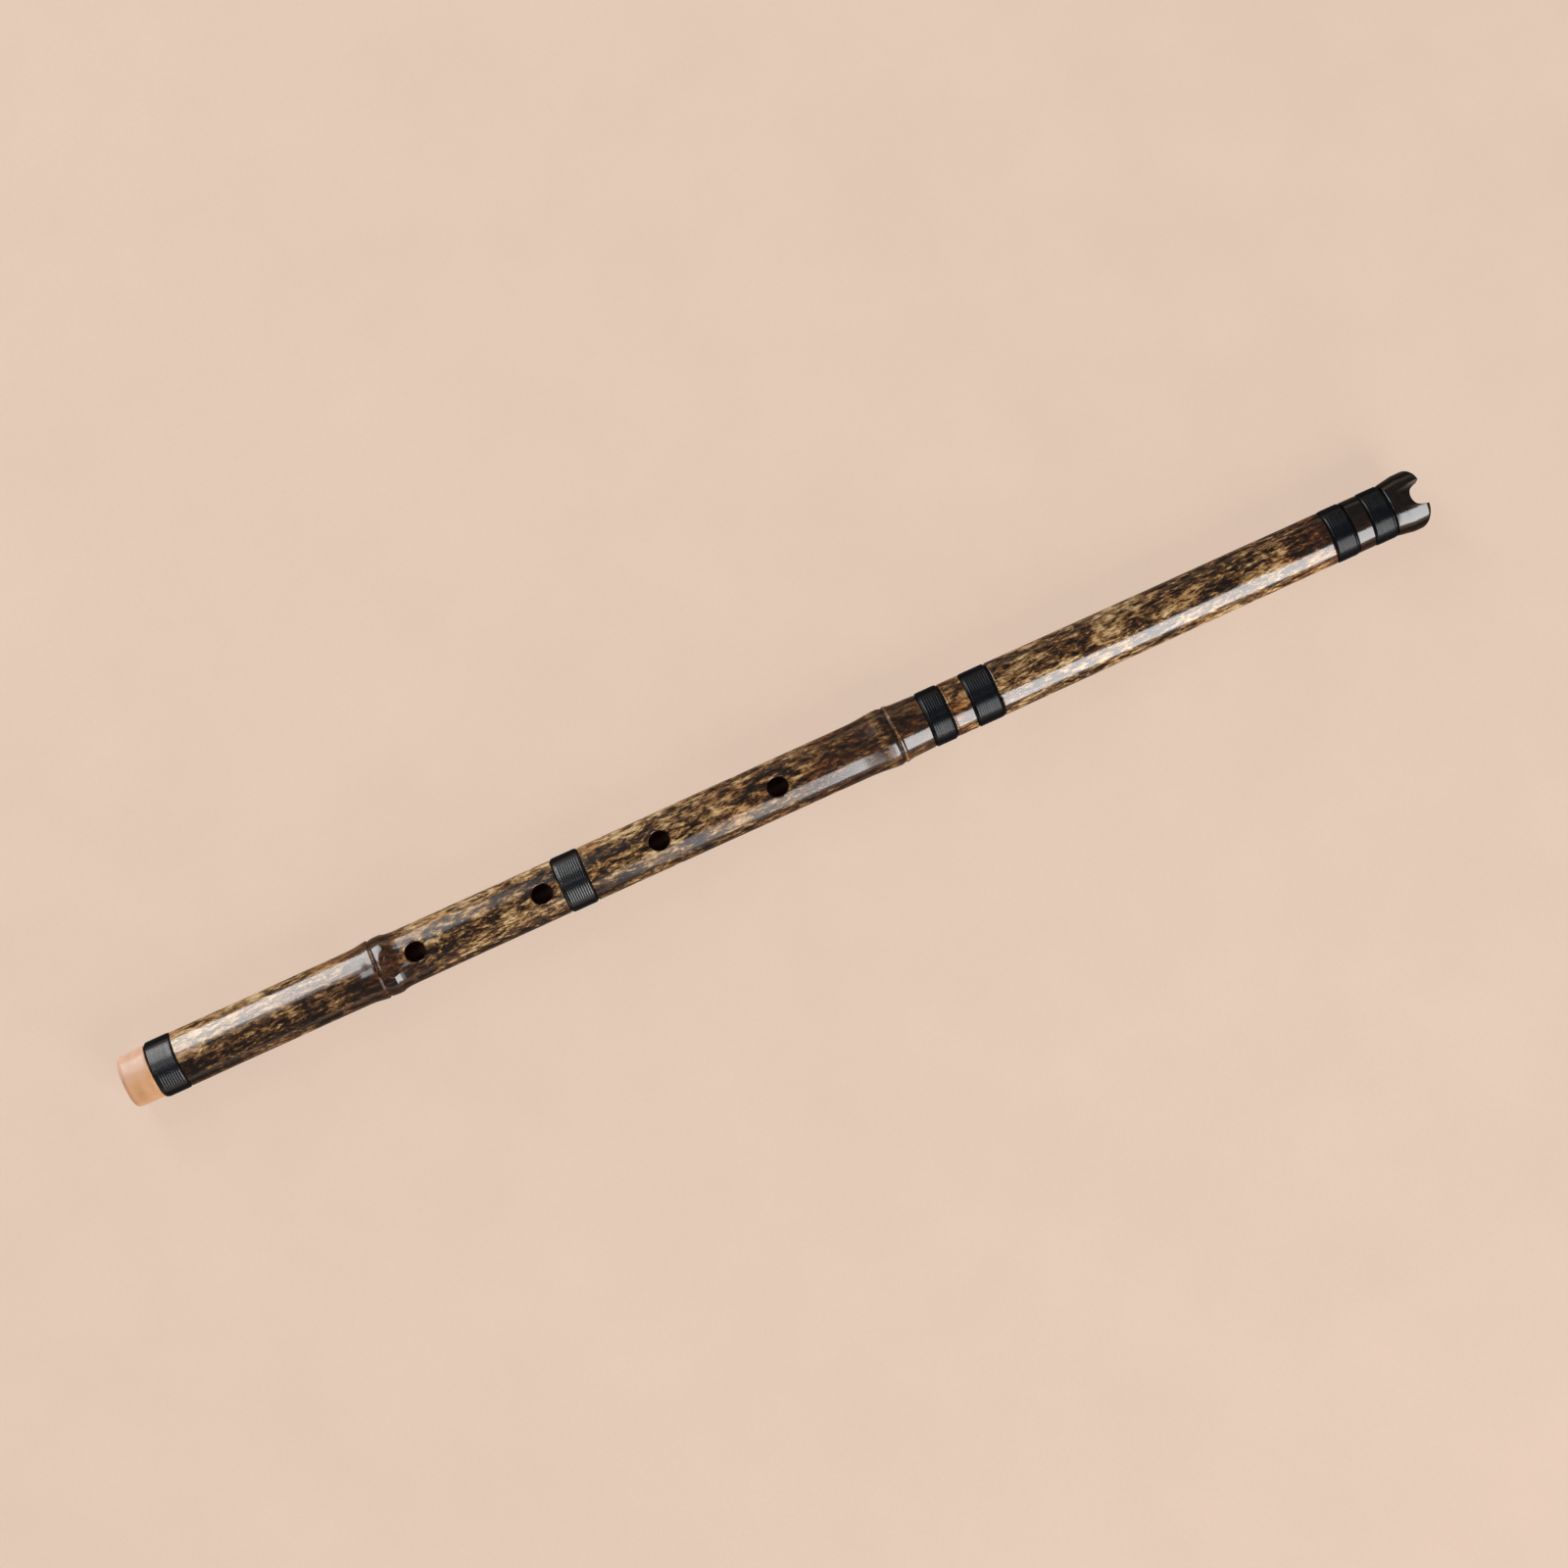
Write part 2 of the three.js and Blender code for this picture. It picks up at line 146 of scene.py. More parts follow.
def eased(points, softness):
    """Stations and radii through the given points, with their corners softened over a length."""
    stations, radii = np.array(points, float).T
    fine = np.arange(stations[0], stations[-1] + PROFILE_STEP, PROFILE_STEP)
    level = np.interp(fine, stations, radii)
    widths = 4
    reach = max(1, int(widths * softness / PROFILE_STEP))
    window = np.exp(-0.5 * (np.arange(-reach, reach + 1) * PROFILE_STEP / softness) ** 2)
    level = np.convolve(np.pad(level, reach, mode="edge"), window / window.sum(), "valid")
    return fine, level


def ring_stations(fine, level):
    """Stations to put rings at, so that straight lines between them stay close to the profile."""
    kept = [0]
    first = 0
    for i in range(2, len(fine)):
        inner = slice(first + 1, i)
        share = (fine[inner] - fine[first]) / (fine[i] - fine[first])
        chord = level[first] + share * (level[i] - level[first])
        error = np.abs(level[inner] - chord).max()
        if error > PROFILE_ERROR or fine[i] - fine[first] > LONGEST_RING:
            kept.append(i - 1)
            first = i - 1
    kept.append(len(fine) - 1)
    return fine[kept]


def smooth_step(value, start, end):
    """0 before start, 1 after end, and an even curve between."""
    share = np.clip((value - start) / (end - start), 0, 1)
    return share * share * (3 - 2 * share)


# Seeds of the two sections' swells
LOWER_SEED = 7
UPPER_SEED = 19
# Swells of a grown culm: how many round it, their length along it and their height
SWELLS = ((2, 170, 0.05), (3, 74, 0.035), (1, 47, 0.02), (5, 33, 0.014))


def waver(station, turn, seed):
    """How far a grown culm stands off a true round: long shallow swells, never quite even."""
    random = np.random.default_rng(seed)
    total = 0
    for around, length, height in SWELLS:
        first, second = random.uniform(0, FULL_TURN, 2)
        swell = np.sin(FULL_TURN * station / length + second)
        total = total + height * np.sin(around * turn + first) * swell
    return total


# Meshes


def make_piece(name, body, points, faces, finishes, indices=None, sharp=SHARP_EDGE):
    """A mesh piece that faces outwards, rides on a CAD body and takes its finish from a slot."""
    mesh = bpy.data.meshes.new(name)
    mesh.from_pydata(points.tolist(), [], faces)
    for finish in finishes:
        mesh.materials.append(finish)
    if indices is not None:
        mesh.polygons.foreach_set("material_index", indices)
    mesh.polygons.foreach_set("use_smooth", [True] * len(mesh.polygons))
    if inside_out(mesh):
        mesh.flip_normals()
    mesh.set_sharp_from_angle(angle=math.radians(sharp))
    mesh.update()
    piece = bpy.data.objects.new(name, mesh)
    bpy.context.scene.collection.objects.link(piece)
    if body:
        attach(piece, body)
    return piece


def inside_out(mesh):
    """True if the mesh's faces point inwards."""
    mesh.calc_loop_triangles()
    corners = np.empty(len(mesh.loop_triangles) * 3, np.int64)
    mesh.loop_triangles.foreach_get("vertices", corners)
    places = np.empty(len(mesh.vertices) * 3)
    mesh.vertices.foreach_get("co", places)
    a, b, c = places.reshape(-1, 3)[corners.reshape(-1, 3)].transpose(1, 0, 2)
    return float(np.einsum("ij,ij->i", a, np.cross(b, c)).sum()) < 0


def wall_faces(ring_count, side_count, looped):
    """Four-sided faces between rings. A looped skin joins its last ring to its first."""
    last = ring_count if looped else ring_count - 1
    rings, sides = np.meshgrid(np.arange(last), np.arange(side_count), indexing="ij")
    onward, beside = (rings + 1) % ring_count, (sides + 1) % side_count
    corners = [
        rings * side_count + sides,
        rings * side_count + beside,
        onward * side_count + beside,
        onward * side_count + sides,
    ]
    return np.stack([corner.ravel() for corner in corners], axis=1).tolist()


def end_caps(ring_count, side_count):
    """The faces that close the first and the last ring of a skin."""
    last = (ring_count - 1) * side_count
    return [list(range(side_count))[::-1], list(range(last, last + side_count))]


def turned_piece(name, body, profile, finish, sides=TURNED_SIDES):
    """A round tube turned from a closed loop of [station, radius] points."""
    turn = np.arange(sides) / sides * FULL_TURN
    station, radius = np.array(profile, float).T
    points = placed(station[:, None], radius[:, None], turn[None, :]).reshape(-1, 3)
    faces = wall_faces(len(profile), sides, True)
    return make_piece(name, body, points, faces, [finish])


def rounded(station, radius, size, start, end, steps):
    """Points of a quarter round about a station and radius, between two angles in degrees."""
    angles = np.radians(np.linspace(start, end, steps))
    return [[station + size * math.cos(a), radius + size * math.sin(a)] for a in angles]


def carve(piece, cutters):
    """Cuts closed cutters out of a piece and leaves one clean mesh, which keeps most faces."""
    for cutter in cutters:
        cut = piece.modifiers.new(cutter.name, "BOOLEAN")
        cut.operation = "DIFFERENCE"
        cut.solver = "EXACT"
        cut.object = cutter
    bpy.context.view_layer.update()
    whole = piece.evaluated_get(bpy.context.evaluated_depsgraph_get())
    mesh = bpy.data.meshes.new_from_object(whole)
    mesh.name = piece.name
    piece.modifiers.clear()
    least_kept = 0.9 * len(piece.data.polygons)
    if len(mesh.polygons) < least_kept:
        raise RuntimeError(f"the cuts in {piece.name} took too much away")
    piece.data = mesh
    for cutter in cutters:
        bpy.data.objects.remove(cutter)
    mesh.polygons.foreach_set("use_smooth", [True] * len(mesh.polygons))
    mesh.set_sharp_from_angle(angle=math.radians(CARVED_SHARP_EDGE))
    mesh.update()


def even_light(piece):
    """Weighs the shading by face size, so that small cut faces don't dent the wide ones."""
    weigh = piece.modifiers.new("even_light", "WEIGHTED_NORMAL")
    weigh.keep_sharp = True
    weigh.weight = 60


# Procedural finishes


def paint(red, green, blue):
    """A colour written as 0 to 255, as Blender's linear light."""
    linear = []
    for level in (red, green, blue):
        level = level / 255
        linear.append(level / 12.92 if level <= 0.04045 else ((level + 0.055) / 1.055) ** 2.4)
    return tuple(linear)


class Finish:
    """A material under way: adds nodes, joins them, and sets the shader's constants."""

    def __init__(self, name):
        self.material = bpy.data.materials.new(name)
        self.material.use_nodes = True
        self.tree = self.material.node_tree
        self.shader = self.tree.nodes["Principled BSDF"]

    def node(self, kind, inputs=None, **settings):
        made = self.tree.nodes.new("ShaderNode" + kind)
        for key, value in settings.items():
            setattr(made, key, value)
        for key, value in (inputs or {}).items():
            self.feed(made.inputs[key], value)
        return made

    def feed(self, socket, value):
        if isinstance(value, bpy.types.NodeSocket):
            self.tree.links.new(value, socket)
        else:
            socket.default_value = value

    def shade(self, **values):
        for key, value in values.items():
            self.feed(self.shader.inputs[key.replace("_", " ")], value)

    def calc(self, operation, *values, clamp=False):
        made = self.node("Math", operation=operation, use_clamp=clamp)
        for socket, value in zip(made.inputs, values):
            self.feed(socket, value)
        return made.outputs[0]

    def here(self):
        return self.node("TexCoord").outputs["Object"]

    def place(self, axis):
        """The place on the piece along one axis, in metres."""
        return self.node("SeparateXYZ", {"Vector": self.here()}).outputs[axis]

    def stretched(self, along, across):
        """The place on the piece, in features a metre along the bore and across it."""
        scale = (along, across, across)
        return self.node("Mapping", {"Vector": self.here(), "Scale": scale}).outputs[0]

    def noise(self, place, detail, roughness, distortion=0, scale=1):
        inputs = {
            "Vector": place,
            "Scale": scale,
            "Detail": detail,
            "Roughness": roughness,
            "Distortion": distortion,
        }
        return self.node("TexNoise", inputs).outputs["Fac"]

    def ramp(self, value, stops):
        """A colour ramp through stops that are given in order."""
        made = self.node("ValToRGB", {"Fac": value})
        steps = made.color_ramp.elements
        while len(steps) < len(stops):
            steps.new(0.5)
        for step, (position, colour) in zip(steps, stops):
            step.position = position
            step.color = (*colour, 1)
        return made.outputs["Color"]

    def between(self, value, low, high, start=0, end=1):
        inputs = {"Value": value, "From Min": low, "From Max": high, "To Min": start, "To Max": end}
        return self.node("MapRange", inputs).outputs["Result"]

    def blend(self, share, first, second):
        """A mix of two colours."""
        made = self.node("Mix", data_type="RGBA")
        for index, value in ((0, share), (6, first), (7, second)):
            self.feed(made.inputs[index], value)
        return made.outputs[2]

    def glancing(self, low, high, start, end):
        """A share that changes as the surface turns away from the eye."""
        facing = self.node("LayerWeight", {"Blend": 0.5}).outputs["Facing"]
        return self.between(facing, low, high, start, end)

    def relief(self, height, strength, depth):
        inputs = {"Height": height, "Strength": strength, "Distance": depth}
        return self.node("Bump", inputs).outputs["Normal"]


# Zones along the culm: station, tone (0.5 is as grown), strength of the mottling, and redness
CULM_ZONES = (
    (12, 0.54, 0.90, 0.15),
    (88, 0.54, 0.90, 0.25),
    (98, 0.46, 0.40, 0.50),
    (112, 0.45, 0.45, 0.65),
    (124, 0.56, 1.00, 0.20),
    (175, 0.56, 1.00, 0.20),
    (210, 0.54, 1.00, 0.25),
    (280, 0.52, 0.90, 0.35),
    (294, 0.49, 0.65, 0.60),
    (314, 0.48, 0.55, 0.70),
    (333, 0.45, 0.45, 0.45),
    (343, 0.64, 0.90, 0.65),
    (354, 0.64, 0.90, 0.65),
    (366, 0.52, 1.00, 0.10),
    (420, 0.52, 1.00, 0.15),
    (450, 0.57, 1.00, 0.25),
    (486, 0.59, 1.00, 0.35),
    (502, 0.49, 0.75, 0.75),
    (514, 0.32, 0.36, 0.70),
    (530, 0.27, 0.30, 0.70),
    (545, 0.25, 0.25, 0.70),
)
# Lines on the nodes' rings: station from the node's middle, half width, slant, how much paler the
# line is, its change of redness, and how much of it is left on the side of +Y
# The first node's pale ruddy line: partly the ring's own colour, partly a painted highlight where
# its ridge catches the light; at +Y, where the ridge lies in shade, little of it is left
NODE_ONE_LINES = ((-2.6, 0.6, 0.3, 0.09, 0.5, 0.1),)
NODE_TWO_LINES = (
    (-3.6, 2.3, 0.75, 0.07, -0.8, 1),
    # The dark line in the dip is painted shade in that hollow
    (0.95, 0.7, 0.35, -0.10, 0, 1),
    (2.3, 0.7, 0.35, 0.16, 0.2, 1),
)

# Painted light and shade on the culm's flanks: how much paler its flank at +Y is painted than its
# middle, and its flank at -Y darker, by station, as the lamps light one side more than the other
CULM_PAINTED_SIDE_LIGHT = (
    (12, 0.13), (90, 0.13), (105, 0.06), (124, 0.13), (175, 0.13), (200, 0.08), (245, 0.06),
    (285, 0.01), (340, 0.02), (366, -0.02), (440, -0.04), (470, -0.10), (545, -0.10),
)


# Tones at which the bamboo has its colours, from the darkest to straw
GOLDEN_TONES = (0.28, 0.42, 0.51, 0.60, 0.72, 0.86)
# The same for the ruddier bamboo round the nodes, with its colours
RUDDY_TONES = (
    (0.28, paint(10, 6, 4)),
    (0.42, paint(32, 16, 10)),
    (0.53, paint(62, 33, 19)),
    (0.63, paint(104, 62, 34)),
    (0.78, paint(170, 120, 66)),
)


def bamboo_finish(settings):
    """Mottled brown bamboo under clear lacquer, with streaks along the grain, and painted light and
    shade on its flanks.
    """
    finish = Finish("lacquered_culm")
    streaks = finish.noise(finish.stretched(185, 560), 5, 0.66, 0.45)
    fibres = finish.noise(finish.stretched(600, 1900), 3, 0.6)
    patches = finish.noise(finish.stretched(34, 90), 2, 0.5, 0.5)
    hues = finish.noise(finish.stretched(75, 250), 2, 0.5)
    station = finish.calc("SUBTRACT", finish.place("X"), FOOT_X)
    station = finish.calc("MULTIPLY", station, 1 / MM)
    along = finish.calc("DIVIDE", station, FLUTE_LENGTH)
    beside = finish.calc("DIVIDE", finish.place("Y"), MOST_RADIUS * MM)

    zones = [(row[0] / FLUTE_LENGTH, row[1:]) for row in CULM_ZONES]
    zone = finish.node("SeparateColor", {"Color": finish.ramp(along, zones)}).outputs
    mottle = 0
    for layer, strength in ((streaks, 1.7), (fibres, 0.66), (patches, 0.8)):
        mottle = finish.calc("SUBTRACT", mottle, strength / 2)
        mottle = finish.calc("MULTIPLY_ADD", layer, strength, mottle)
    tone = finish.calc("MULTIPLY_ADD", mottle, zone["Green"], zone["Red"])

    # Painted light and shade: the flank at +Y is painted paler and the flank at -Y darker. A ramp
    # can't hold what is less than 0, so these tones are laid on a middle grey
    grey = 0.5
    painted_side_stops = [(place / FLUTE_LENGTH, (grey + paler,) * 3) for place, paler in CULM_PAINTED_SIDE_LIGHT]
    painted_side_light = finish.calc("SUBTRACT", finish.ramp(along, painted_side_stops), grey)
    tone = finish.calc("MULTIPLY_ADD", painted_side_light, beside, tone)

    redness = finish.calc("ADD", zone["Blue"], finish.between(hues, 0.38, 0.62, -0.40, 0.40))
    # Node lines: the first node's pale line is partly a painted highlight, the dip's dark line
    # painted shade
    for node, rows in ((settings.node_one, NODE_ONE_LINES), (settings.node_two, NODE_TWO_LINES)):
        for offset, half, slant, paler, redder, behind in rows:
            leaning = finish.calc("MULTIPLY_ADD", beside, slant, station)
            off = finish.calc("SUBTRACT", leaning, node + offset)
            line = finish.between(finish.calc("ABSOLUTE", off), half, half * 0.4, 0, 1)
            line = finish.calc("MULTIPLY", line, finish.between(beside, -0.1, 0.35, 1, behind))
            tone = finish.calc("MULTIPLY_ADD", line, paler, tone)
            redness = finish.calc("MULTIPLY_ADD", line, redder, redness, clamp=True)

    names = ("darkest", "dark", "middle", "amber", "gold", "straw")
    colours = [getattr(settings, name)[:] for name in names]
    golden = finish.ramp(tone, list(zip(GOLDEN_TONES, colours)))
    ruddy = finish.ramp(tone, RUDDY_TONES)

    # The lacquer mirrors the lamps where it is seen square on, and hardly at all at its edges
    edge_gloss = finish.between(station, 480, 515, 0.06, 0.0)
    height = finish.calc("MULTIPLY", streaks, 0.65)
    height = finish.calc("MULTIPLY_ADD", fibres, 0.35, height)
    finish.shade(
        Base_Color=finish.blend(redness, golden, ruddy),
        Roughness=finish.between(streaks, 0.3, 0.7, 0.28, 0.42),
        Specular_IOR_Level=0.02,
        Coat_Weight=finish.glancing(0.30, 0.46, 1.0, edge_gloss),
        Coat_Roughness=0.13,
        Coat_IOR=1.66,
        Coat_Tint=(1.0, 0.95, 0.86, 1),
        Normal=finish.relief(height, 0.25, 0.0003),
        Coat_Normal=finish.relief(height, 0.10, 0.0003),
    )
    return finish.material


# Where the lacquer of the bore goes from brown to nearly black, in metres along X
MOUTH_DARKENS = (0.225, 0.25)


def bore_finish():
    """Dark lacquer inside the bore, the holes and the notch, with the grain just showing."""
    finish = Finish("bore_lacquer")
    grain = finish.noise(finish.stretched(60, 700), 5, 0.6, 0.2)
    inner = finish.ramp(grain, [(0.35, paint(88, 46, 38)), (0.65, paint(136, 82, 66))])
    mouth = finish.ramp(grain, [(0.35, paint(9, 6, 5)), (0.65, paint(30, 17, 13))])
    share = finish.between(finish.place("X"), *MOUTH_DARKENS)
    finish.shade(
        Base_Color=finish.blend(share, inner, mouth),
        Roughness=finish.between(grain, 0.3, 0.7, 0.3, 0.5),
        Specular_IOR_Level=0.3,
        Coat_Weight=0.3,
        Coat_Roughness=0.2,
        Normal=finish.relief(grain, 0.2, 0.0003),
    )
    return finish.material


def end_grain_finish():
    """Cut bamboo: pale ground with the dark ends of its fibres, closer towards the skin."""
    finish = Finish("bamboo_end_grain")
    cells = finish.node("TexVoronoi", {"Vector": finish.here(), "Scale": 2600}).outputs["Distance"]
    cloud = finish.noise(finish.here(), 4, 0.6, scale=400)
    dots = finish.between(cells, 0.18, 0.42)
    colour = finish.ramp(cloud, [(0.35, paint(150, 108, 62)), (0.65, paint(198, 158, 104))])
    finish.shade(
        Base_Color=finish.blend(dots, (*paint(84, 52, 28), 1), colour),
        Roughness=finish.between(cloud, 0.3, 0.7, 0.55, 0.75),
        Normal=finish.relief(dots, 0.3, 0.0001),
    )
    return finish.material


# Properties


class FluteCulmSettings(bpy.types.PropertyGroup):
    """Sizes and colours of the two culm sections."""

    foot_radius: FloatProperty(
        name="Foot radius", description="Radius of the culm by the foot, mm", default=11.1
    )
    middle_radius: FloatProperty(
        name="Middle radius", description="Radius of the culm by the holes, mm", default=10.85
    )
    upper_radius: FloatProperty(
        name="Upper radius", description="Radius of the upper section, mm", default=10.45
    )
    flare_radius: FloatProperty(
        name="Flare radius", description="Radius of the culm at the mouth, mm", default=11.7
    )
    node_one: FloatProperty(
        name="First node", description="Station of the first node, mm", default=107.1
    )
    node_two: FloatProperty(
        name="Second node", description="Station of the second node, mm", default=319.5
    )
    bore_radius: FloatProperty(
        name="Bore radius", description="Radius of the bore, mm", default=6.9
    )
    groove_depth: FloatProperty(
        name="Groove depth", description="Depth of the bud's groove, mm", default=0.95
    )
    hole_length: FloatProperty(
        name="Hole length", description="Size of a finger hole along the bore, mm", default=8.5
    )
    hole_width: FloatProperty(
        name="Hole width", description="Size of a finger hole across the bore, mm", default=7.7
    )
    hole_edge: FloatProperty(
        name="Hole edge", description="Rounding of the edge of a finger hole, mm", default=0.7
    )
    notch_floor: FloatProperty(
        name="Notch floor", description="Width of the blowing notch's flat floor, mm", default=5.0
    )
    notch_corner: FloatProperty(
        name="Notch corners", description="Radius of the notch's corners, mm", default=2.1
    )
    notch_lean: FloatProperty(
        name="Notch lean",
        description="How far the notch's walls lean outwards",
        subtype="ANGLE",
        default=math.radians(12),
    )
    notch_depth: FloatProperty(
        name="Notch depth", description="Depth of the notch along the bore, mm", default=5.4
    )
    notch_slope: FloatProperty(
        name="Notch slope",
        description="Slope of the notch's floor",
        subtype="ANGLE",
        default=math.radians(28),
    )
    end_slope: FloatProperty(
        name="End slope",
        description="Slope of the mouth end down to the chin",
        subtype="ANGLE",
        default=math.radians(17),
    )
    mouth_turn: FloatProperty(
        name="Mouth turn",
        description="How far the mouth is turned from the line of the finger holes, towards +Y",
        subtype="ANGLE",
        default=math.radians(6.5),
    )
    end_front: FloatProperty(
        name="End front", description="Height over the axis where the slope starts, mm", default=8.4
    )
    darkest: FloatVectorProperty(
        name="Darkest", description="Darkest streaks", subtype="COLOR", default=paint(14, 7, 4)
    )
    dark: FloatVectorProperty(
        name="Dark", description="Dark streaks", subtype="COLOR", default=paint(38, 22, 12)
    )
    middle: FloatVectorProperty(
        name="Middle", description="Brown ground", subtype="COLOR", default=paint(80, 54, 30)
    )
    amber: FloatVectorProperty(
        name="Amber", description="Amber patches", subtype="COLOR", default=paint(124, 94, 59)
    )
    gold: FloatVectorProperty(
        name="Gold", description="Gold patches", subtype="COLOR", default=paint(177, 147, 104)
    )
    straw: FloatVectorProperty(
        name="Straw", description="Palest flecks", subtype="COLOR", default=paint(217, 195, 158)
    )


class FluteWindingSettings(bpy.types.PropertyGroup):
    """Sizes and colours of the wound bindings."""

    pitch: FloatProperty(
        name="Pitch", description="Distance between turns of the thread, mm", default=0.95
    )
    crown: FloatProperty(
        name="Crown", description="How far a turn's middle stands over its edges, mm", default=0.16
    )
    film: FloatProperty(
        name="Film", description="Depth of the lacquer film under the crowns, mm", default=0.055
    )
    shoulder: FloatProperty(
        name="Shoulder", description="Length of a binding's rounded edges, mm", default=1.45
    )
    drop: FloatProperty(
        name="Drop", description="How far a binding's edges lie under its middle, mm", default=0.78
    )
    colour: FloatVectorProperty(
        name="Thread", description="Colour of the thread", subtype="COLOR", default=paint(8, 11, 17)
    )


class FluteFootSettings(bpy.types.PropertyGroup):
    """Sizes and colours of the foot ring."""

    end_radius: FloatProperty(
        name="End radius", description="Radius at the foot, mm", default=10.35
    )
    shoulder_radius: FloatProperty(
        name="Shoulder radius", description="Radius against the binding, mm", default=10.6
    )
    rounding: FloatProperty(
        name="Rounding", description="Rounding of the foot's edge, mm", default=2.1
    )
    warm: FloatVectorProperty(
        name="Warm", description="Orange clouds", subtype="COLOR", default=paint(211, 158, 114)
    )
    rosy: FloatVectorProperty(
        name="Rosy", description="Pink clouds", subtype="COLOR", default=paint(209, 165, 137)
    )


class FluteStageSettings(bpy.types.PropertyGroup):
    """Floor, lamps and camera."""

    floor_colour: FloatVectorProperty(
        name="Floor",
        description="Colour of the floor",
        subtype="COLOR",
        default=paint(228, 203, 184),
    )
    lens: FloatProperty(
        name="Lens", description="Focal length of the camera, mm", default=77.86
    )
    distance: FloatProperty(
        name="Distance", description="Camera to bore, m", subtype="DISTANCE", default=1.3009
    )
    roll: FloatProperty(
        name="Roll",
        description="How steeply the flute rises across the picture",
        subtype="ANGLE",
        default=math.radians(24.44),
    )
    lean: FloatProperty(
        name="Lean",
        description="How far the camera leans off the vertical, to the side of -Y",
        subtype="ANGLE",
        default=math.radians(1.7),
    )
    swing: FloatProperty(
        name="Swing",
        description="How far the camera leans off the vertical, towards the foot",
        subtype="ANGLE",
        default=math.radians(2.1),
    )


# Culm sections


# Depth of the recess under a binding, and the gap beside the turns at its top and on its floor
RECESS_DEPTH = 0.8
RECESS_TOP_GAP = 0.3
RECESS_FLOOR_GAP = 0.25


def recess_points(node, radius):
    """Profile of the recess under a binding, whose walls stand just off its turns."""
    first, last, _ = span(node)
    floor = radius - RECESS_DEPTH
    return [
        [first - RECESS_TOP_GAP, radius],
        [first - RECESS_FLOOR_GAP, floor],
        [last + RECESS_FLOOR_GAP, floor],
        [last + RECESS_TOP_GAP, radius],
    ]


def waisted(start, end, radius_start, radius_end, waist=0.1):
    """Profile of a stretch of culm that is a little narrower in the middle, without its ends."""
    points = []
    for share in np.linspace(0, 1, 9)[1:-1]:
        radius = radius_start + (radius_end - radius_start) * share
        points.append([start + (end - start) * share, radius - waist * math.sin(math.pi * share)])
    return points


# Shapes of the nodes: station from the node's middle, and radius
NODE_ONE_SHAPE = (
    (-10.4, 11.08), (-8.2, 11.19), (-6.2, 11.42), (-4.6, 11.68), (-3.6, 11.80), (-3.0, 11.90),
    (-2.5, 11.88), (-2.25, 11.52), (-1.9, 11.44), (-1.3, 11.64), (-0.3, 11.80), (0.8, 11.88),
    (2.4, 11.90), (3.2, 11.84), (3.8, 11.62), (4.8, 11.32), (6.2, 11.12), (8.4, 11.00),
)
NODE_TWO_SHAPE = (
    (-12.8, 11.02), (-10.4, 11.13), (-8.2, 11.29), (-6.2, 11.47), (-4.8, 11.61), (-3.9, 11.70),
    (-3.1, 11.77), (-2.0, 11.82), (-1.0, 11.85), (-0.1, 11.83), (0.35, 11.72), (0.8, 11.58),
    (1.3, 11.43), (1.65, 11.34), (1.80, 11.52), (1.98, 11.76), (2.15, 11.79), (2.5, 11.79),
    (2.9, 11.70), (3.4, 11.50), (4.2, 11.34), (5.2, 11.22), (6.6, 11.12), (8.8, 11.04),
)
NODE_CURVE_POINTS = 260
# How far the second node's rings slant round the culm, by station from its middle
NODE_SLANT = ((-14, 0), (-4.8, 0.9), (-1.3, 0.7), (2.7, 0.35), (4.2, 0.3), (12, 0))


def node_points(station, shape):
    """A smooth curve through a node's points."""
    offset, radius = np.array(shape).T
    rise = np.gradient(radius, offset)
    fine = np.linspace(offset[0], offset[-1], NODE_CURVE_POINTS)
    left = np.clip(np.searchsorted(offset, fine, side="right") - 1, 0, len(offset) - 2)
    width = offset[left + 1] - offset[left]
    t = (fine - offset[left]) / width
    curve = (2 * t**3 - 3 * t**2 + 1) * radius[left] + (3 * t**2 - 2 * t**3) * radius[left + 1]
    curve += width * ((t**3 - 2 * t**2 + t) * rise[left] + (t**3 - t**2) * rise[left + 1])
    return np.stack([station + fine, curve], axis=1).tolist()


# The spigot that carries the foot ring: its radius, and the chamfer at its end
SPIGOT_RADIUS = 8.7
SPIGOT_CHAMFER = (0.3, 0.2)


def lower_profile(culm):
    """Outside of the lower section."""
    first, seam, _ = span("lower_section")
    _, ring_end, _ = span("foot_ring")
    foot = recess_points("foot_binding", culm.foot_radius)
    hole = recess_points("hole_binding", culm.middle_radius)
    node_one = node_points(culm.node_one, NODE_ONE_SHAPE)
    node_two = node_points(culm.node_two, NODE_TWO_SHAPE)
    return [
        [first, SPIGOT_RADIUS - SPIGOT_CHAMFER[1]],
        [first + SPIGOT_CHAMFER[0], SPIGOT_RADIUS],
        [ring_end + 0.05, SPIGOT_RADIUS],
        [ring_end + 0.1, foot[1][1]],
        *foot[2:],
        *waisted(foot[3][0], node_one[0][0], culm.foot_radius, node_one[0][1]),
        *node_one,
        *waisted(node_one[-1][0], hole[0][0], node_one[-1][1], culm.middle_radius, 0),
        *hole,
        *waisted(hole[3][0], node_two[0][0], culm.middle_radius, node_two[0][1], 0.04),
        *node_two,
        *recess_points("lower_seam_binding", SEAM_RADIUS),
        [seam, SEAM_RADIUS],
    ]


# Start of the flare past the last binding: distance, and how far it stands over the culm
FLARE_SHAPE = ((0, 0.1), (1.8, 0.45), (4, 0.78))


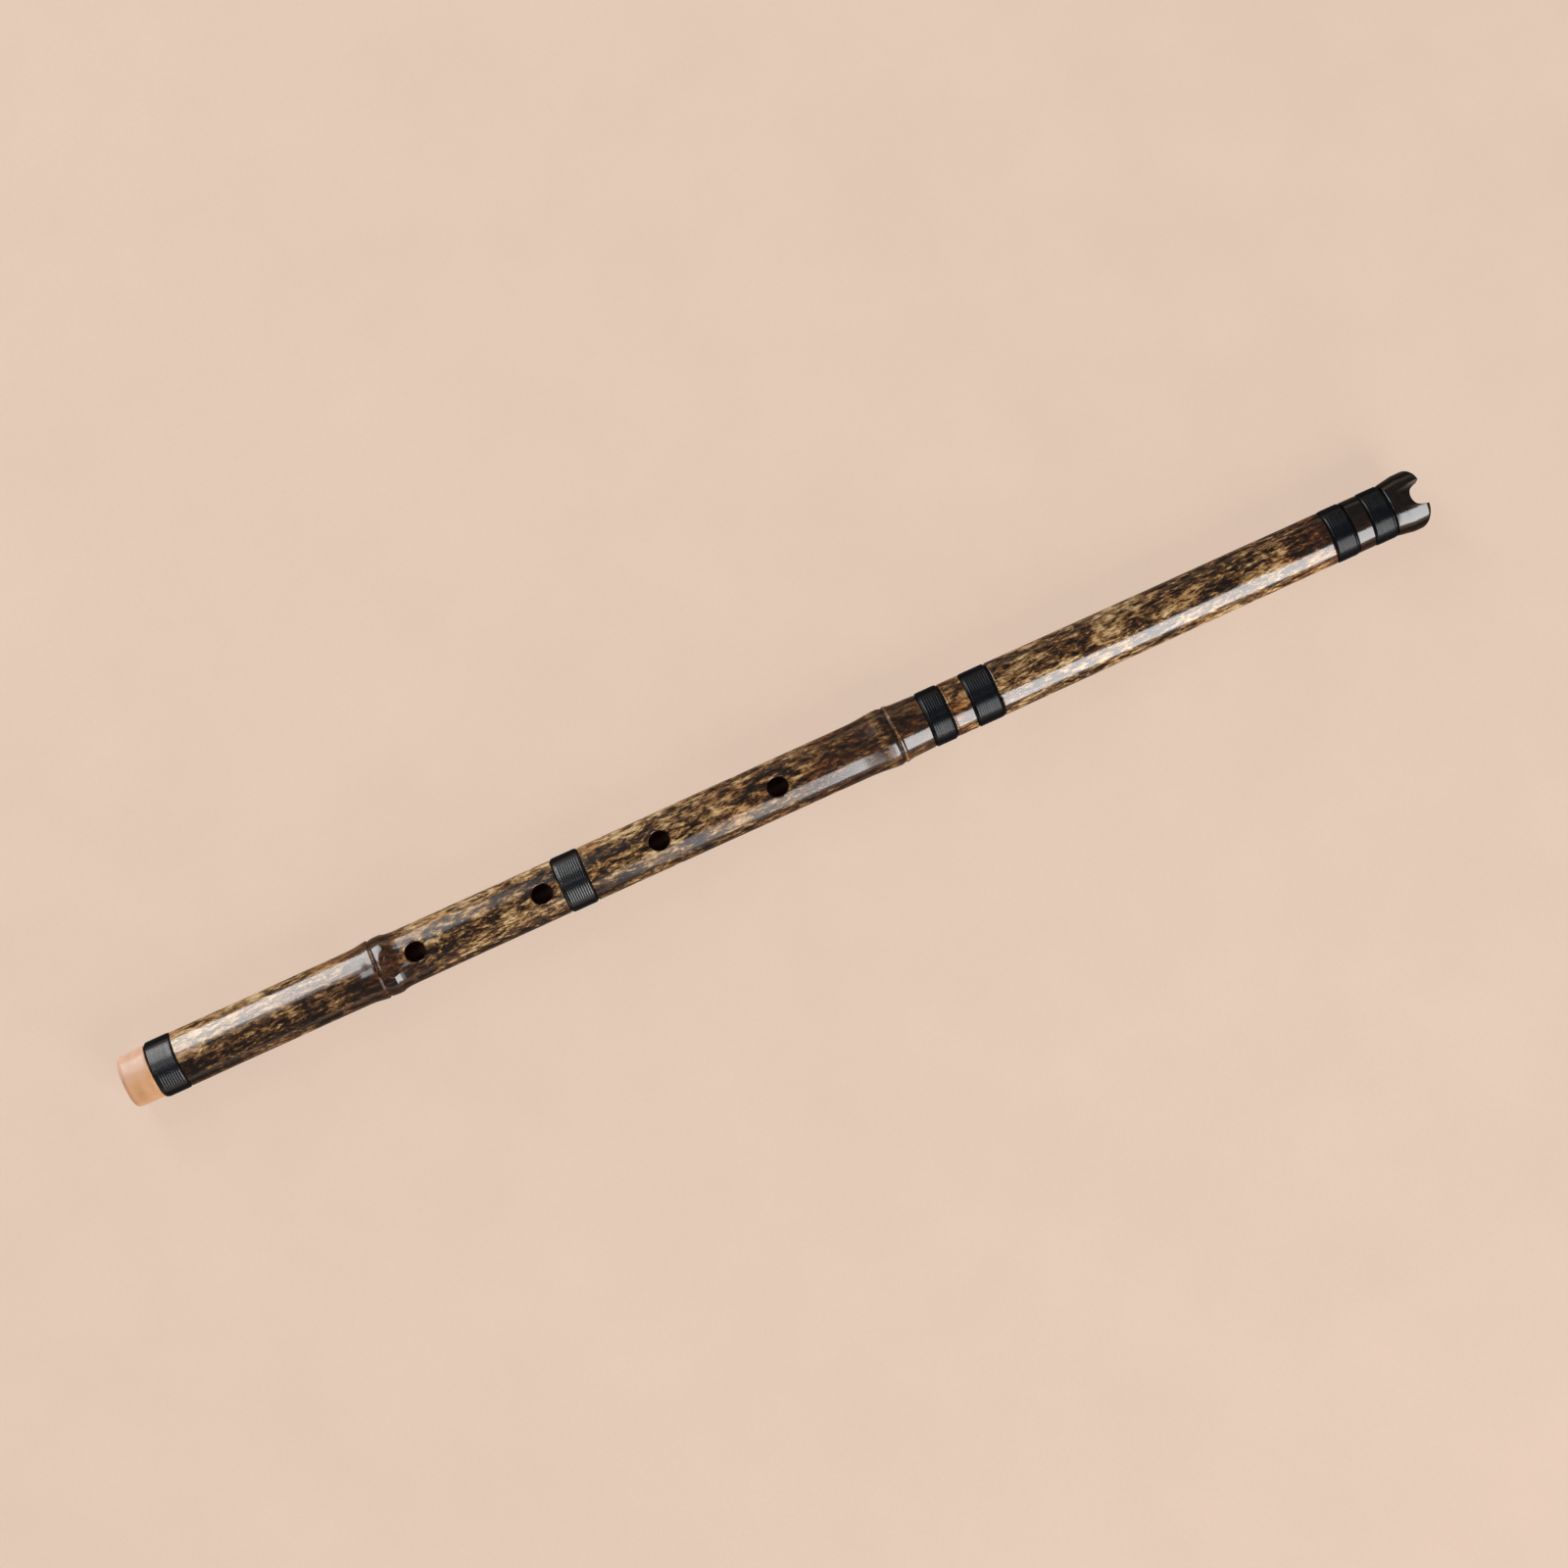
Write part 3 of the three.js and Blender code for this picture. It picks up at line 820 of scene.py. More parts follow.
def upper_profile(culm):
    """Outside of the upper section, past the edge of the mouth, where the end is cut."""
    start, _, _ = span("upper_section")
    seam = recess_points("upper_seam_binding", SEAM_RADIUS)
    neck = recess_points("neck_binding", culm.upper_radius)
    mouth = recess_points("mouth_binding", culm.upper_radius)
    swell = mouth[3][0]
    flare = culm.flare_radius
    return [
        [start, SEAM_RADIUS],
        *seam,
        *waisted(seam[3][0], neck[0][0], SEAM_RADIUS, culm.upper_radius, 0.06),
        *neck,
        *mouth[:3],
        *([swell + run, culm.upper_radius + rise] for run, rise in FLARE_SHAPE),
        [swell + 6.5, flare - 0.03],
        [swell + 9, flare],
        [FLUTE_LENGTH + 2, flare],
    ]


# The bud's groove: its half width in degrees at its start and where it is narrow, the run between
# them, how far its start bends back at its sides, the run of its first wall, the stretch in which
# it fades, and the share of its width that is at full depth
GROOVE_HALF_WIDTHS = (37, 18)
GROOVE_NARROWS = (0, 12)
GROOVE_BEND = 3.2
GROOVE_WALL = 1.3
GROOVE_FADES = (4, 24)
GROOVE_FLAT_SHARE = 0.45

# Length over which the corners of a culm's profile are softened
CORNER_SOFTNESS = 0.08
# Stretches with closer rings, from the groove's start and from the slanted node: start, end, step
GROOVE_RINGS = (-0.6, 9, 0.3)
NODE_RINGS = (-6, 7, 0.25)
LEAST_RING_GAP = 0.04


class CulmSurface:
    """Outside of a culm section: its turned profile, its grown unevenness and the bud's groove."""

    def __init__(self, points, seed, groove_from=None, groove_depth=0, slant_at=0):
        self.stations, self.radii = eased(points, CORNER_SOFTNESS)
        self.seed = seed
        self.groove_from = groove_from
        self.groove_depth = groove_depth
        self.slant_at = slant_at

    def radius(self, station, turn):
        station, turn = np.broadcast_arrays(np.asarray(station, float), np.asarray(turn, float))
        slant = np.interp(station - self.slant_at, *zip(*NODE_SLANT))
        leaning = station + slant * np.sin(turn)
        radius = np.interp(leaning, self.stations, self.radii) + waver(station, turn, self.seed)
        if self.groove_from is not None:
            radius = radius - self.groove(station, turn)
        return np.minimum(radius, MOST_RADIUS)

    def groove(self, station, turn):
        """Depth of the bud's groove."""
        past = station - self.groove_from
        half = np.radians(np.interp(past, GROOVE_NARROWS, GROOVE_HALF_WIDTHS))
        off = np.abs((turn + math.pi) % FULL_TURN - math.pi) / half
        start = self.groove_from + GROOVE_BEND * off**2
        wall = smooth_step(station, start, start + GROOVE_WALL)
        fade_from, fade_to = (self.groove_from + run for run in GROOVE_FADES)
        fade = 1 - smooth_step(station, fade_from, fade_to)
        across = 1 - smooth_step(off, GROOVE_FLAT_SHARE, 1)
        return self.groove_depth * wall * fade * across

    def rings(self):
        """Stations of the rings that make the surface."""
        rings = [ring_stations(self.stations, self.radii)]
        if self.groove_from is not None:
            for middle, (start, end, step) in (
                (self.groove_from, GROOVE_RINGS),
                (self.slant_at, NODE_RINGS),
            ):
                rings.append(np.arange(middle + start, middle + end, step))
        rings = np.unique(np.round(np.concatenate(rings), 3))
        return rings[np.diff(rings, prepend=rings[0] - 1) > LEAST_RING_GAP]

    def skin(self, stations):
        """Rings of the surface at the given stations."""
        return [(np.full(CULM_SIDES, s), self.radius(s, SIDE_TURNS)) for s in stations]


def plain_rings(rows):
    """Rings that are the same all round, from stations and radii."""
    even = np.ones(CULM_SIDES)
    return [(even * station, even * radius) for station, radius in rows]


# A hole's cutter: its sides and their start, how high it reaches over the culm, how deep it goes
# past the rounded edge, and the angles of that edge
HOLE_SIDES = 56
HOLE_START = 0.37
HOLE_RISE = 3.5
HOLE_FLARE = 2.5
HOLE_EDGE_ANGLES = np.radians(np.linspace(90, 13, 7))


def hole_cutter(name, station, turn, culm, surface, finish):
    """A cutter for an oval hole through one wall, whose edge it rounds evenly over the culm."""
    around = (np.arange(HOLE_SIDES) + HOLE_START) / HOLE_SIDES * FULL_TURN
    edge = culm.hole_edge
    rings = [(0.0, None)]
    for angle in HOLE_EDGE_ANGLES:
        rings.append((edge - edge * math.sin(angle), edge - edge * math.cos(angle)))
    rings.append((edge + HOLE_FLARE, -HOLE_RISE))
    points = []
    for margin, depth in rings:
        across = (culm.hole_width / 2 + margin) * np.cos(around)
        along = station + (culm.hole_length / 2 + margin) * np.sin(around)
        if depth is None:
            height = np.zeros_like(across)
        else:
            off = np.arcsin(across / culm.foot_radius)
            height = np.sqrt(surface.radius(along, turn + off) ** 2 - across**2) - depth
        points.append(placed(along, np.hypot(across, height), turn + np.arctan2(across, height)))
    faces = wall_faces(len(rings), HOLE_SIDES, False)
    indices = [1] * HOLE_SIDES + [0] * (len(faces) - HOLE_SIDES) + [1, 1]
    faces += end_caps(len(rings), HOLE_SIDES)
    return make_piece(name, None, np.concatenate(points), faces, finish, indices)


def culm_piece(name, body, rings_out, rings_in, inner_from):
    """A culm from outside rings and inside rings, each a pair of stations and radii round it.
    Its finish changes at the rings that inner_from counts."""
    rings = rings_out + rings_in
    points = np.concatenate([placed(station, radius, SIDE_TURNS) for station, radius in rings])
    faces = wall_faces(len(rings), CULM_SIDES, True)
    indices = np.zeros(len(rings), int)
    for index, first in inner_from:
        indices[first:] = index
    indices = np.repeat(indices, CULM_SIDES)
    names = ("lacquered_culm", "bore_lacquer", "bamboo_end_grain")
    finishes = [bpy.data.materials[key] for key in names]
    return make_piece(name, body, points, faces, finishes, indices)


def make_finishes(culm):
    """The finishes that both sections share."""
    if "lacquered_culm" not in bpy.data.materials:
        bamboo_finish(culm)
        bore_finish()
        end_grain_finish()


def socket_rings(culm):
    """Inside of the lower section: its bare end, the socket with its floor, and the bore."""
    first, seam, _ = span("lower_section")
    floor, _, liner_radius = span("socket_liner")
    face, face_radius = seam - 0.1, 10.4
    floor, socket = floor - 0.2, liner_radius + SEAT_GAP
    bore = culm.bore_radius
    rows = [(face, face_radius), (face, socket), (floor, socket), (floor, bore)]
    rows += [(station, bore) for station in np.linspace(floor - 7.8, first + 8, 24)]
    return plain_rings([*rows, (first, bore)])


class FLUTE_OT_lower_culm(bpy.types.Operator):
    """Build the lower section, with its two nodes, four finger holes and the thumb hole"""

    bl_idname = "flute.lower_culm"
    bl_label = "Lower Culm"

    def execute(self, context):
        culm = context.scene.flute_culm
        make_finishes(culm)
        groove_from = culm.node_one - 0.2
        surface = CulmSurface(
            lower_profile(culm), LOWER_SEED, groove_from, culm.groove_depth, culm.node_two
        )
        outside = surface.skin(surface.rings())
        count = len(outside)
        changes = ((2, count - 1), (1, count + 1))
        piece = culm_piece("lower_culm", "lower_half", outside, socket_rings(culm), changes)
        holes = [(f"hole_{n}", f"finger_hole_{n}", 0) for n in (1, 2, 3, 4)]
        holes.append(("hole_behind", "thumb_hole", math.pi))
        finishes = list(piece.data.materials)
        cutters = [
            hole_cutter(name, opening_station(opening), turn, culm, surface, finishes)
            for name, opening, turn in holes
        ]
        carve(piece, cutters)
        even_light(piece)
        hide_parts("lower_section")
        return {"FINISHED"}


# The mouth: how far its end stays inside the CAD box, how softly its slope starts, the rounding of
# its rim with the angles of that, and its inner edge as steps out from the bore and down
END_MARGIN = 0.02
SLOPE_SOFTNESS = 0.5
RIM_ROUNDING = 1.5
RIM_ANGLES = (12, 26, 40, 54, 68, 80, 90)
RIM_STEPS = ((1.8, 0), (1.0, 0), (0.5, 0), (0.25, 0.06), (0.1, 0.2), (0.02, 0.45), (0, 0.9))
# Where the flare's rings start past the last binding, and where the bore is at its full depth
FLARE_START = 0.7
MOUTH_BORE_END = 528
# The notch's cutter: how far it runs past the notch on both sides, and how high its walls are
NOTCH_RUN = (-26, 10)
NOTCH_WALL = 20


def end_station(culm, height):
    """Station of the mouth's end at a height over the bore's middle, sloped behind for the chin."""
    under = culm.end_front - height
    eased_under = 0.5 * (under + np.sqrt(under**2 + SLOPE_SOFTNESS))
    drop = math.tan(culm.end_slope) * np.where(under > -1, eased_under, 0)
    return FLUTE_LENGTH - END_MARGIN - drop


def notch_cutter(culm, finish):
    """A cutter for the blowing notch: a trough with round corners that slopes into the bore."""
    half, corner, lean = culm.notch_floor / 2, culm.notch_corner, culm.notch_lean
    arc = np.linspace(-math.pi / 2, -lean, 17)
    across = half + corner * np.cos(arc)
    up = corner * (1 + np.sin(arc))
    across = np.append(across, across[-1] + NOTCH_WALL * math.tan(lean))
    up = np.append(up, up[-1] + NOTCH_WALL)
    across = np.concatenate([across, -across[::-1]])
    up = np.concatenate([up, up[::-1]])
    slope = culm.notch_slope
    points = []
    for run in NOTCH_RUN:
        along = FLUTE_LENGTH - culm.notch_depth + run * math.cos(slope) + up * math.sin(slope)
        height = MOUTH_BORE - run * math.sin(slope) + up * math.cos(slope)
        turn = culm.mouth_turn + np.arctan2(across, height)
        points.append(placed(along, np.hypot(across, height), turn))
    points = np.concatenate(points)
    faces = wall_faces(2, len(across), False) + end_caps(2, len(across))
    return make_piece("notch_cutter", None, points, faces, finish, [1] * len(faces))


def mouth_rings(culm, surface, flare_from):
    """Rings of the mouth: up the outside of the flare and its rim, then over the inner edge."""
    tilt = np.cos(SIDE_TURNS - culm.mouth_turn)
    flare_to = end_station(culm, (culm.flare_radius - 0.2) * tilt) - RIM_ROUNDING - 0.2
    outside = []
    for share in np.linspace(0, 1, 14):
        station = flare_from + (flare_to - flare_from) * share
        outside.append((station, surface.radius(station, SIDE_TURNS)))
    lip = surface.radius(flare_to, SIDE_TURNS)
    for angle in np.radians(RIM_ANGLES):
        radius = lip - RIM_ROUNDING * (1 - math.cos(angle))
        depth = RIM_ROUNDING * (1 - math.sin(angle))
        outside.append((end_station(culm, radius * tilt) - depth, radius))
    inside = []
    for step, depth in RIM_STEPS:
        radius = MOUTH_BORE + step
        inside.append((end_station(culm, radius * tilt) - depth, np.full(CULM_SIDES, radius)))
    return outside, inside


def seat_rings(culm):
    """Inside of the upper section under the mouth: the bore, and the seat of the tenon."""
    start, _, _ = span("upper_section")
    _, seat_end, tenon_radius = span("tenon")
    bore, seat = culm.bore_radius, tenon_radius + SEAT_GAP
    rows = [(station, bore) for station in np.linspace(MOUTH_BORE_END, seat_end + 8, 14)]
    floor = seat_end + 0.2
    return plain_rings([*rows, (floor, bore), (floor, seat), (start, seat)])


class FLUTE_OT_upper_culm(bpy.types.Operator):
    """Build the upper section, with its flared mouth, the blowing notch and the chin's slope"""

    bl_idname = "flute.upper_culm"
    bl_label = "Upper Culm"

    def execute(self, context):
        culm = context.scene.flute_culm
        make_finishes(culm)
        surface = CulmSurface(upper_profile(culm), UPPER_SEED)
        _, last_binding_end, _ = span("mouth_binding")
        flare_from = last_binding_end + FLARE_START
        stations = surface.rings()
        outside = surface.skin(stations[stations < flare_from])
        flare, mouth = mouth_rings(culm, surface, flare_from)
        outside += flare
        inside = mouth + seat_rings(culm)
        count = len(outside)
        changes = ((1, count + 4), (2, count + len(inside) - 1))
        piece = culm_piece("upper_culm", "upper_half", outside, inside, changes)
        carve(piece, [notch_cutter(culm, list(piece.data.materials))])
        even_light(piece)
        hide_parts("upper_section")
        return {"FINISHED"}


# Bindings


def cord_finish(winding):
    """Wound black thread under lacquer. The map called thread runs along it, in mm."""
    finish = Finish("wound_thread")
    run = finish.node("UVMap", uv_map="thread").outputs["UV"]
    parts = finish.node("SeparateXYZ", {"Vector": run}).outputs
    phase = finish.calc("MULTIPLY", parts["X"], 6.6)
    phase = finish.calc("MULTIPLY_ADD", parts["Y"], 5.2, phase)
    strands = finish.calc("MULTIPLY_ADD", finish.calc("SINE", phase), 0.5, 0.5)
    cloud = finish.noise(finish.here(), 4, 0.6, scale=520)
    height = finish.calc("MULTIPLY_ADD", strands, 0.6, finish.calc("MULTIPLY", cloud, 0.6))
    lustre = finish.between(finish.place("X"), -0.06, 0.06, 1.0, 0.40)
    dark = tuple(level * 0.45 for level in winding.colour)
    pale = tuple(level * 1.5 for level in winding.colour)
    finish.shade(
        Base_Color=finish.ramp(cloud, [(0.35, dark), (0.52, winding.colour[:]), (0.68, pale)]),
        Roughness=finish.between(cloud, 0.3, 0.7, 0.45, 0.60),
        Specular_IOR_Level=0.01,
        Coat_Weight=finish.calc("MULTIPLY", finish.glancing(0.30, 0.50, 1, 0.02), lustre),
        Coat_Roughness=0.21,
        Coat_IOR=1.6,
        Coat_Tint=(0.90, 0.96, 1.0, 1),
        Normal=finish.relief(height, 0.25, 0.00008),
        Coat_Normal=finish.relief(height, 0.25, 0.00008),
    )
    return finish.material


# A binding: how far it fills its recess past the CAD binding, a turn's width over the pitch, the
# steps in a turn, and how deep the thread's ends are tucked in
WINDING_REACH = 0.2
TURN_OVERLAP = 1.04
THREAD_STEPS = 96
THREAD_TUCK = 0.45
# Turn between the starts of two bindings' threads, in radians
START_SHIFT = 0.7
# How unevenly the thread lies along and across the culm, and how often that changes in a turn
THREAD_SWAY = 0.018
THREAD_LIFT = 0.012
SWAYS_IN_TURN = 5
# Section of a turn: points over its crown, and its foot as a share of the width and a depth
CROWN_POINTS = 11
CROWN_POWER = 2.6
FOOT_SHARE = 0.36
FOOT_DEPTH = 0.62
# Depth and step of the lacquer film
FILM_DEPTH = 1.1
FILM_STEP = 0.12


def winding_piece(name, node, body, settings, finish, seed):
    """One binding: thread in close turns, each a flat crown, in a film of lacquer."""
    first, last, radius = span(node)
    first, last = first - WINDING_REACH, last + WINDING_REACH
    skins = (
        thread_skin(first, last, radius, settings, seed),
        film_skin(first, last, radius, settings),
    )
    faces, count = [], 0
    for points, skin, _, _ in skins:
        faces += [[corner + count for corner in face] for face in outward(points, skin)]
        count += len(points)
    points, _, along, across = (list(part) for part in zip(*skins))
    points = np.concatenate(points)
    piece = make_piece(name, body, points, faces, [finish], sharp=60)
    lay_map(piece.data, "thread", np.concatenate(along), np.concatenate(across))
    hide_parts(node)


def thread_skin(first, last, radius, settings, seed):
    """Points and faces of the wound thread, and where each point is along and across it."""
    width = settings.pitch * TURN_OVERLAP
    turns = round((last - first - width) / settings.pitch, 0)
    pitch = (last - first - width) / turns
    steps = int(turns * THREAD_STEPS) + 1
    step = np.arange(steps)
    angle = math.pi + seed * START_SHIFT + step / THREAD_STEPS * FULL_TURN
    random = np.random.default_rng(seed)
    knots = int(turns * SWAYS_IN_TURN) + 2
    spots = np.linspace(0, steps - 1, knots)
    sway = np.interp(step, spots, random.normal(0, THREAD_SWAY, knots))
    lift = np.interp(step, spots, random.normal(0, THREAD_LIFT, knots))
    tuck = 1 - smooth_step(step, 0, THREAD_STEPS / 6)
    tuck += smooth_step(step, steps - THREAD_STEPS / 6, steps - 1)
    station = first + width / 2 + step / THREAD_STEPS * pitch + sway
    crown = radius + lift - THREAD_TUCK * tuck - cushion(station, first, last, settings)
    flat = np.linspace(-1, 1, CROWN_POINTS)
    foot = width * FOOT_SHARE
    across = np.concatenate([flat * width / 2, [foot, -foot]])
    rise = -settings.crown * np.abs(flat) ** CROWN_POWER
    rise = np.concatenate([rise, [-FOOT_DEPTH, -FOOT_DEPTH]])
    points = placed(
        station[:, None] + across[None, :], crown[:, None] + rise[None, :], angle[:, None]
    ).reshape(-1, 3)
    faces = wall_faces(steps, len(across), False) + end_caps(steps, len(across))
    run = np.repeat(crown * (angle - angle[0]), len(across))
    return points, faces, run, np.tile(across, steps)


def film_skin(first, last, radius, settings):
    """The same for the lacquer film between and under the turns."""
    stations = np.linspace(first, last, round((last - first) / FILM_STEP))
    level = radius - settings.film - cushion(stations, first, last, settings)
    station = np.append(stations, [last, first])
    level = np.append(level, [radius - FILM_DEPTH] * 2)
    turn = np.arange(TURNED_SIDES) / TURNED_SIDES * FULL_TURN
    points = placed(station[:, None], level[:, None], turn[None, :]).reshape(-1, 3)
    faces = wall_faces(len(station), TURNED_SIDES, True)
    run = np.tile(radius * turn, len(station))
    return points, faces, run, np.repeat(station - first, TURNED_SIDES)


def cushion(station, first, last, settings):
    """How far a binding lies under its greatest radius at a station: its edges round down."""
    inwards = np.clip(np.minimum(station - first, last - station) / settings.shoulder, 0, 1)
    return settings.drop * (1 - inwards) ** 2


def outward(points, faces):
    """The faces of a closed skin, turned round if they point inwards."""
    wide = np.array([face for face in faces if len(face) == 4])
    a, b, c, d = (points[wide[:, k]] for k in range(4))
    volume = np.einsum("ij,ij->i", a, np.cross(b, c) + np.cross(c, d)).sum()
    return faces if volume >= 0 else [face[::-1] for face in faces]


def lay_map(mesh, name, along, across):
    """A UV map from a value along and one across for each vertex."""
    corners = np.empty(len(mesh.loops), np.int64)
    mesh.loops.foreach_get("vertex_index", corners)
    made = mesh.uv_layers.new(name=name)
    values = np.stack([along[corners], across[corners]], axis=1).astype(np.float32)
    made.data.foreach_set("uv", values.ravel())


class FLUTE_OT_windings(bpy.types.Operator):
    """Build the six bindings of wound and lacquered thread"""

    bl_idname = "flute.windings"
    bl_label = "Windings"

    def execute(self, context):
        settings = context.scene.flute_winding
        finish = cord_finish(settings)
        rows = (
            ("foot", "lower_half"),
            ("hole", "lower_half"),
            ("lower_seam", "lower_half"),
            ("upper_seam", "upper_half"),
            ("neck", "upper_half"),
            ("mouth", "upper_half"),
        )
        for seed, (key, body) in enumerate(rows, 1):
            winding_piece(f"{key}_winding", f"{key}_binding", body, settings, finish, seed)
        return {"FINISHED"}


# Foot ring


def horn_finish(foot):
    """Polished pale horn: pink and orange clouds that light passes into, with painted light and
    shade that makes it paler towards +Y and deeper orange towards -Y.
    """
    finish = Finish("clouded_horn")
    clouds = finish.noise(finish.stretched(45, 70), 4, 0.55, 1.2)
    bands = finish.noise(finish.stretched(420, 60), 3, 0.5, 0.6)
    value = finish.calc("MULTIPLY_ADD", bands, 0.35, finish.calc("MULTIPLY", clouds, 0.65))
    # Painted light and shade: the ring is painted paler on its lit side at +Y and deeper at -Y
    side = finish.between(finish.place("Y"), -0.009, 0.009, -0.16, 0.16)
    value = finish.calc("ADD", value, side)
    milky = tuple(min(1, level * 1.12 + 0.04) for level in foot.rosy)
    deep = tuple(level * 0.78 for level in foot.warm)
    stops = [(0.25, deep), (0.42, foot.warm[:]), (0.58, foot.rosy[:]), (0.72, milky)]
    finish.shade(
        Base_Color=finish.ramp(value, stops),
        Roughness=finish.between(bands, 0.3, 0.7, 0.34, 0.46),
        Subsurface_Weight=0.3,
        Subsurface_Radius=(1.0, 0.5, 0.25),
        Subsurface_Scale=0.003,
        Coat_Weight=0.2,
        Coat_Roughness=0.2,
        Normal=finish.relief(bands, 0.05, 0.0002),
    )
    return finish.material


# Inside of the ring: the radius over the spigot, the wall in front of it and the bore's edge
RING_SEAT = 8.9
RING_WALL = 2.3
BORE_EDGE = 0.5


class FLUTE_OT_foot_ring(bpy.types.Operator):
    """Build the pale ring on the foot"""

    bl_idname = "flute.foot_ring"
    bl_label = "Foot Ring"

    def execute(self, context):
        foot = context.scene.flute_foot
        bore = context.scene.flute_culm.bore_radius
        first, last, _ = span("foot_ring")
        size = foot.rounding
        profile = rounded(first + size, foot.end_radius - size, size, 180, 96, 9)
        for share in np.linspace(0, 1, 7):
            radius = foot.end_radius + (foot.shoulder_radius - foot.end_radius) * share
            profile.append([first + size + (last - 0.25 - first - size) * share, radius])
        profile += [
            [last - 0.08, foot.shoulder_radius - 0.06],
            [last, foot.shoulder_radius - 0.25],
            [last, RING_SEAT],
            [first + RING_WALL, RING_SEAT],
            [first + RING_WALL, bore],
            [first + BORE_EDGE, bore],
        ]
        profile += rounded(first + BORE_EDGE, bore + BORE_EDGE, BORE_EDGE, 240, 190, 4)
        finish = horn_finish(foot)
        piece = turned_piece("foot_ferrule", "lower_half", profile, finish, 128)
        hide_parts("foot_ring")
        return {"FINISHED"}


# Joint


def brass_finish():
    """Turned brass with fine tool marks round it and a little tarnish."""
    finish = Finish("turned_brass")
    marks = finish.noise(finish.stretched(5200, 30), 3, 0.6)
    cloud = finish.noise(finish.here(), 4, 0.6, scale=160)
    stops = [
        (0.35, paint(148, 106, 52)),
        (0.55, paint(188, 148, 78)),
        (0.70, paint(212, 176, 104)),
    ]
    finish.shade(
        Base_Color=finish.ramp(cloud, stops),
        Metallic=1.0,
        Roughness=finish.between(cloud, 0.3, 0.7, 0.2, 0.36),
        Normal=finish.relief(marks, 0.25, 0.00008),
    )
    return finish.material


def cork_finish():
    """Sheet cork: fine pale cells with dark pores."""
    finish = Finish("joint_cork")
    grain = finish.noise(finish.here(), 5, 0.65, scale=900)
    pores = finish.node("TexVoronoi", {"Vector": finish.here(), "Scale": 1300}).outputs["Distance"]
    pore = finish.between(pores, 0.1, 0.28)
    stops = [
        (0.32, paint(128, 84, 48)),
        (0.50, paint(176, 128, 80)),
        (0.70, paint(206, 164, 112)),
    ]
    finish.shade(
        Base_Color=finish.blend(pore, (*paint(78, 46, 26), 1), finish.ramp(grain, stops)),
        Roughness=finish.between(grain, 0.3, 0.7, 0.78, 0.95),
        Specular_IOR_Level=0.3,
        Normal=finish.relief(finish.calc("MULTIPLY", grain, pore), 0.6, 0.0002),
    )
    return finish.material


def tube_loop(first, last, inner, outer, edge):
    """Closed profile of a tube whose edges are rounded."""
    loop = rounded(first + edge, outer - edge, edge, 180, 90, 4)
    loop += rounded(last - edge, outer - edge, edge, 90, 0, 4)
    loop += rounded(last - edge, inner + edge, edge, 0, -90, 4)
    return loop + rounded(first + edge, inner + edge, edge, -90, -180, 4)


# Depth of the tenon's groove and the gap at both ends of the cork in it, and the liner's wall
CORK_GROOVE = 0.55
CORK_GAP = 0.2
LINER_WALL = 0.7


class FLUTE_OT_joint(bpy.types.Operator):
    """Build the brass tenon, its cork sleeve and the brass liner of the socket"""

    bl_idname = "flute.joint"
    bl_label = "Joint"

    def execute(self, context):
        bore = context.scene.flute_culm.bore_radius
        brass = brass_finish()
        first, last, radius = span("tenon")
        cork_first, cork_last, cork_radius = span("tenon_cork")
        floor = radius - CORK_GROOVE
        profile = rounded(first + 0.5, radius - 0.5, 0.5, 180, 90, 5)
        profile += [
            [cork_first - CORK_GAP, radius],
            [cork_first - CORK_GAP, floor],
            [cork_last + CORK_GAP, floor],
            [cork_last + CORK_GAP, radius],
            [last, radius],
            [last, bore],
            [first + 0.3, bore],
            [first + 0.08, bore + 0.08],
            [first, bore + 0.3],
        ]
        tenon = turned_piece("tenon_tube", "joint_tenon", profile, brass)
        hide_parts("tenon")
        loop = tube_loop(cork_first, cork_last, floor + 0.06, cork_radius, 0.16)
        sleeve = turned_piece("cork_sleeve", "joint_tenon", loop, cork_finish())
        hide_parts("tenon_cork")
        first, last, radius = span("socket_liner")
        loop = tube_loop(first, last, radius - LINER_WALL, radius + 0.1, 0.15)
        liner = turned_piece("socket_tube", "lower_half", loop, brass)
        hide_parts("socket_liner")
        return {"FINISHED"}


# Stage


# Half the floor's width and the lamps' distance from the bore, in metres, the share of its own
# colour that the floor shows, and the world's colour and strength
FLOOR_HALF = 4.0
LAMP_DISTANCE = 1.5
FLOOR_GLOW = 0.82
WORLD_COLOUR = (1, 0.95, 0.9, 1)
WORLD_STRENGTH = 0.14

# Lamps: reach along X in metres, side of Y, two angles off the vertical, and radiance
LAMPS = (
    ("right_softbox", (0.09, 0.95), -1, (36, 89), 7.5),
    ("right_edge", (-0.09, 0.09), -1, (36, 89), 2.0),
    ("left_softbox", (-0.80, -0.29), 1, (28, 89), 6.8),
    ("left_fade", (-0.80, -0.31), 1, (16, 28), 1.7),
    ("left_edge", (-0.29, -0.16), 1, (36, 76), 1.0),
    ("left_top", (-0.85, -0.58), 1, (-8, 14), 4.5),
)

# Place over the bore that the camera looks at, X and Y in metres, and the width of its sensor, mm
AIM = (0.00255, 0.0003)
SENSOR_WIDTH = 36


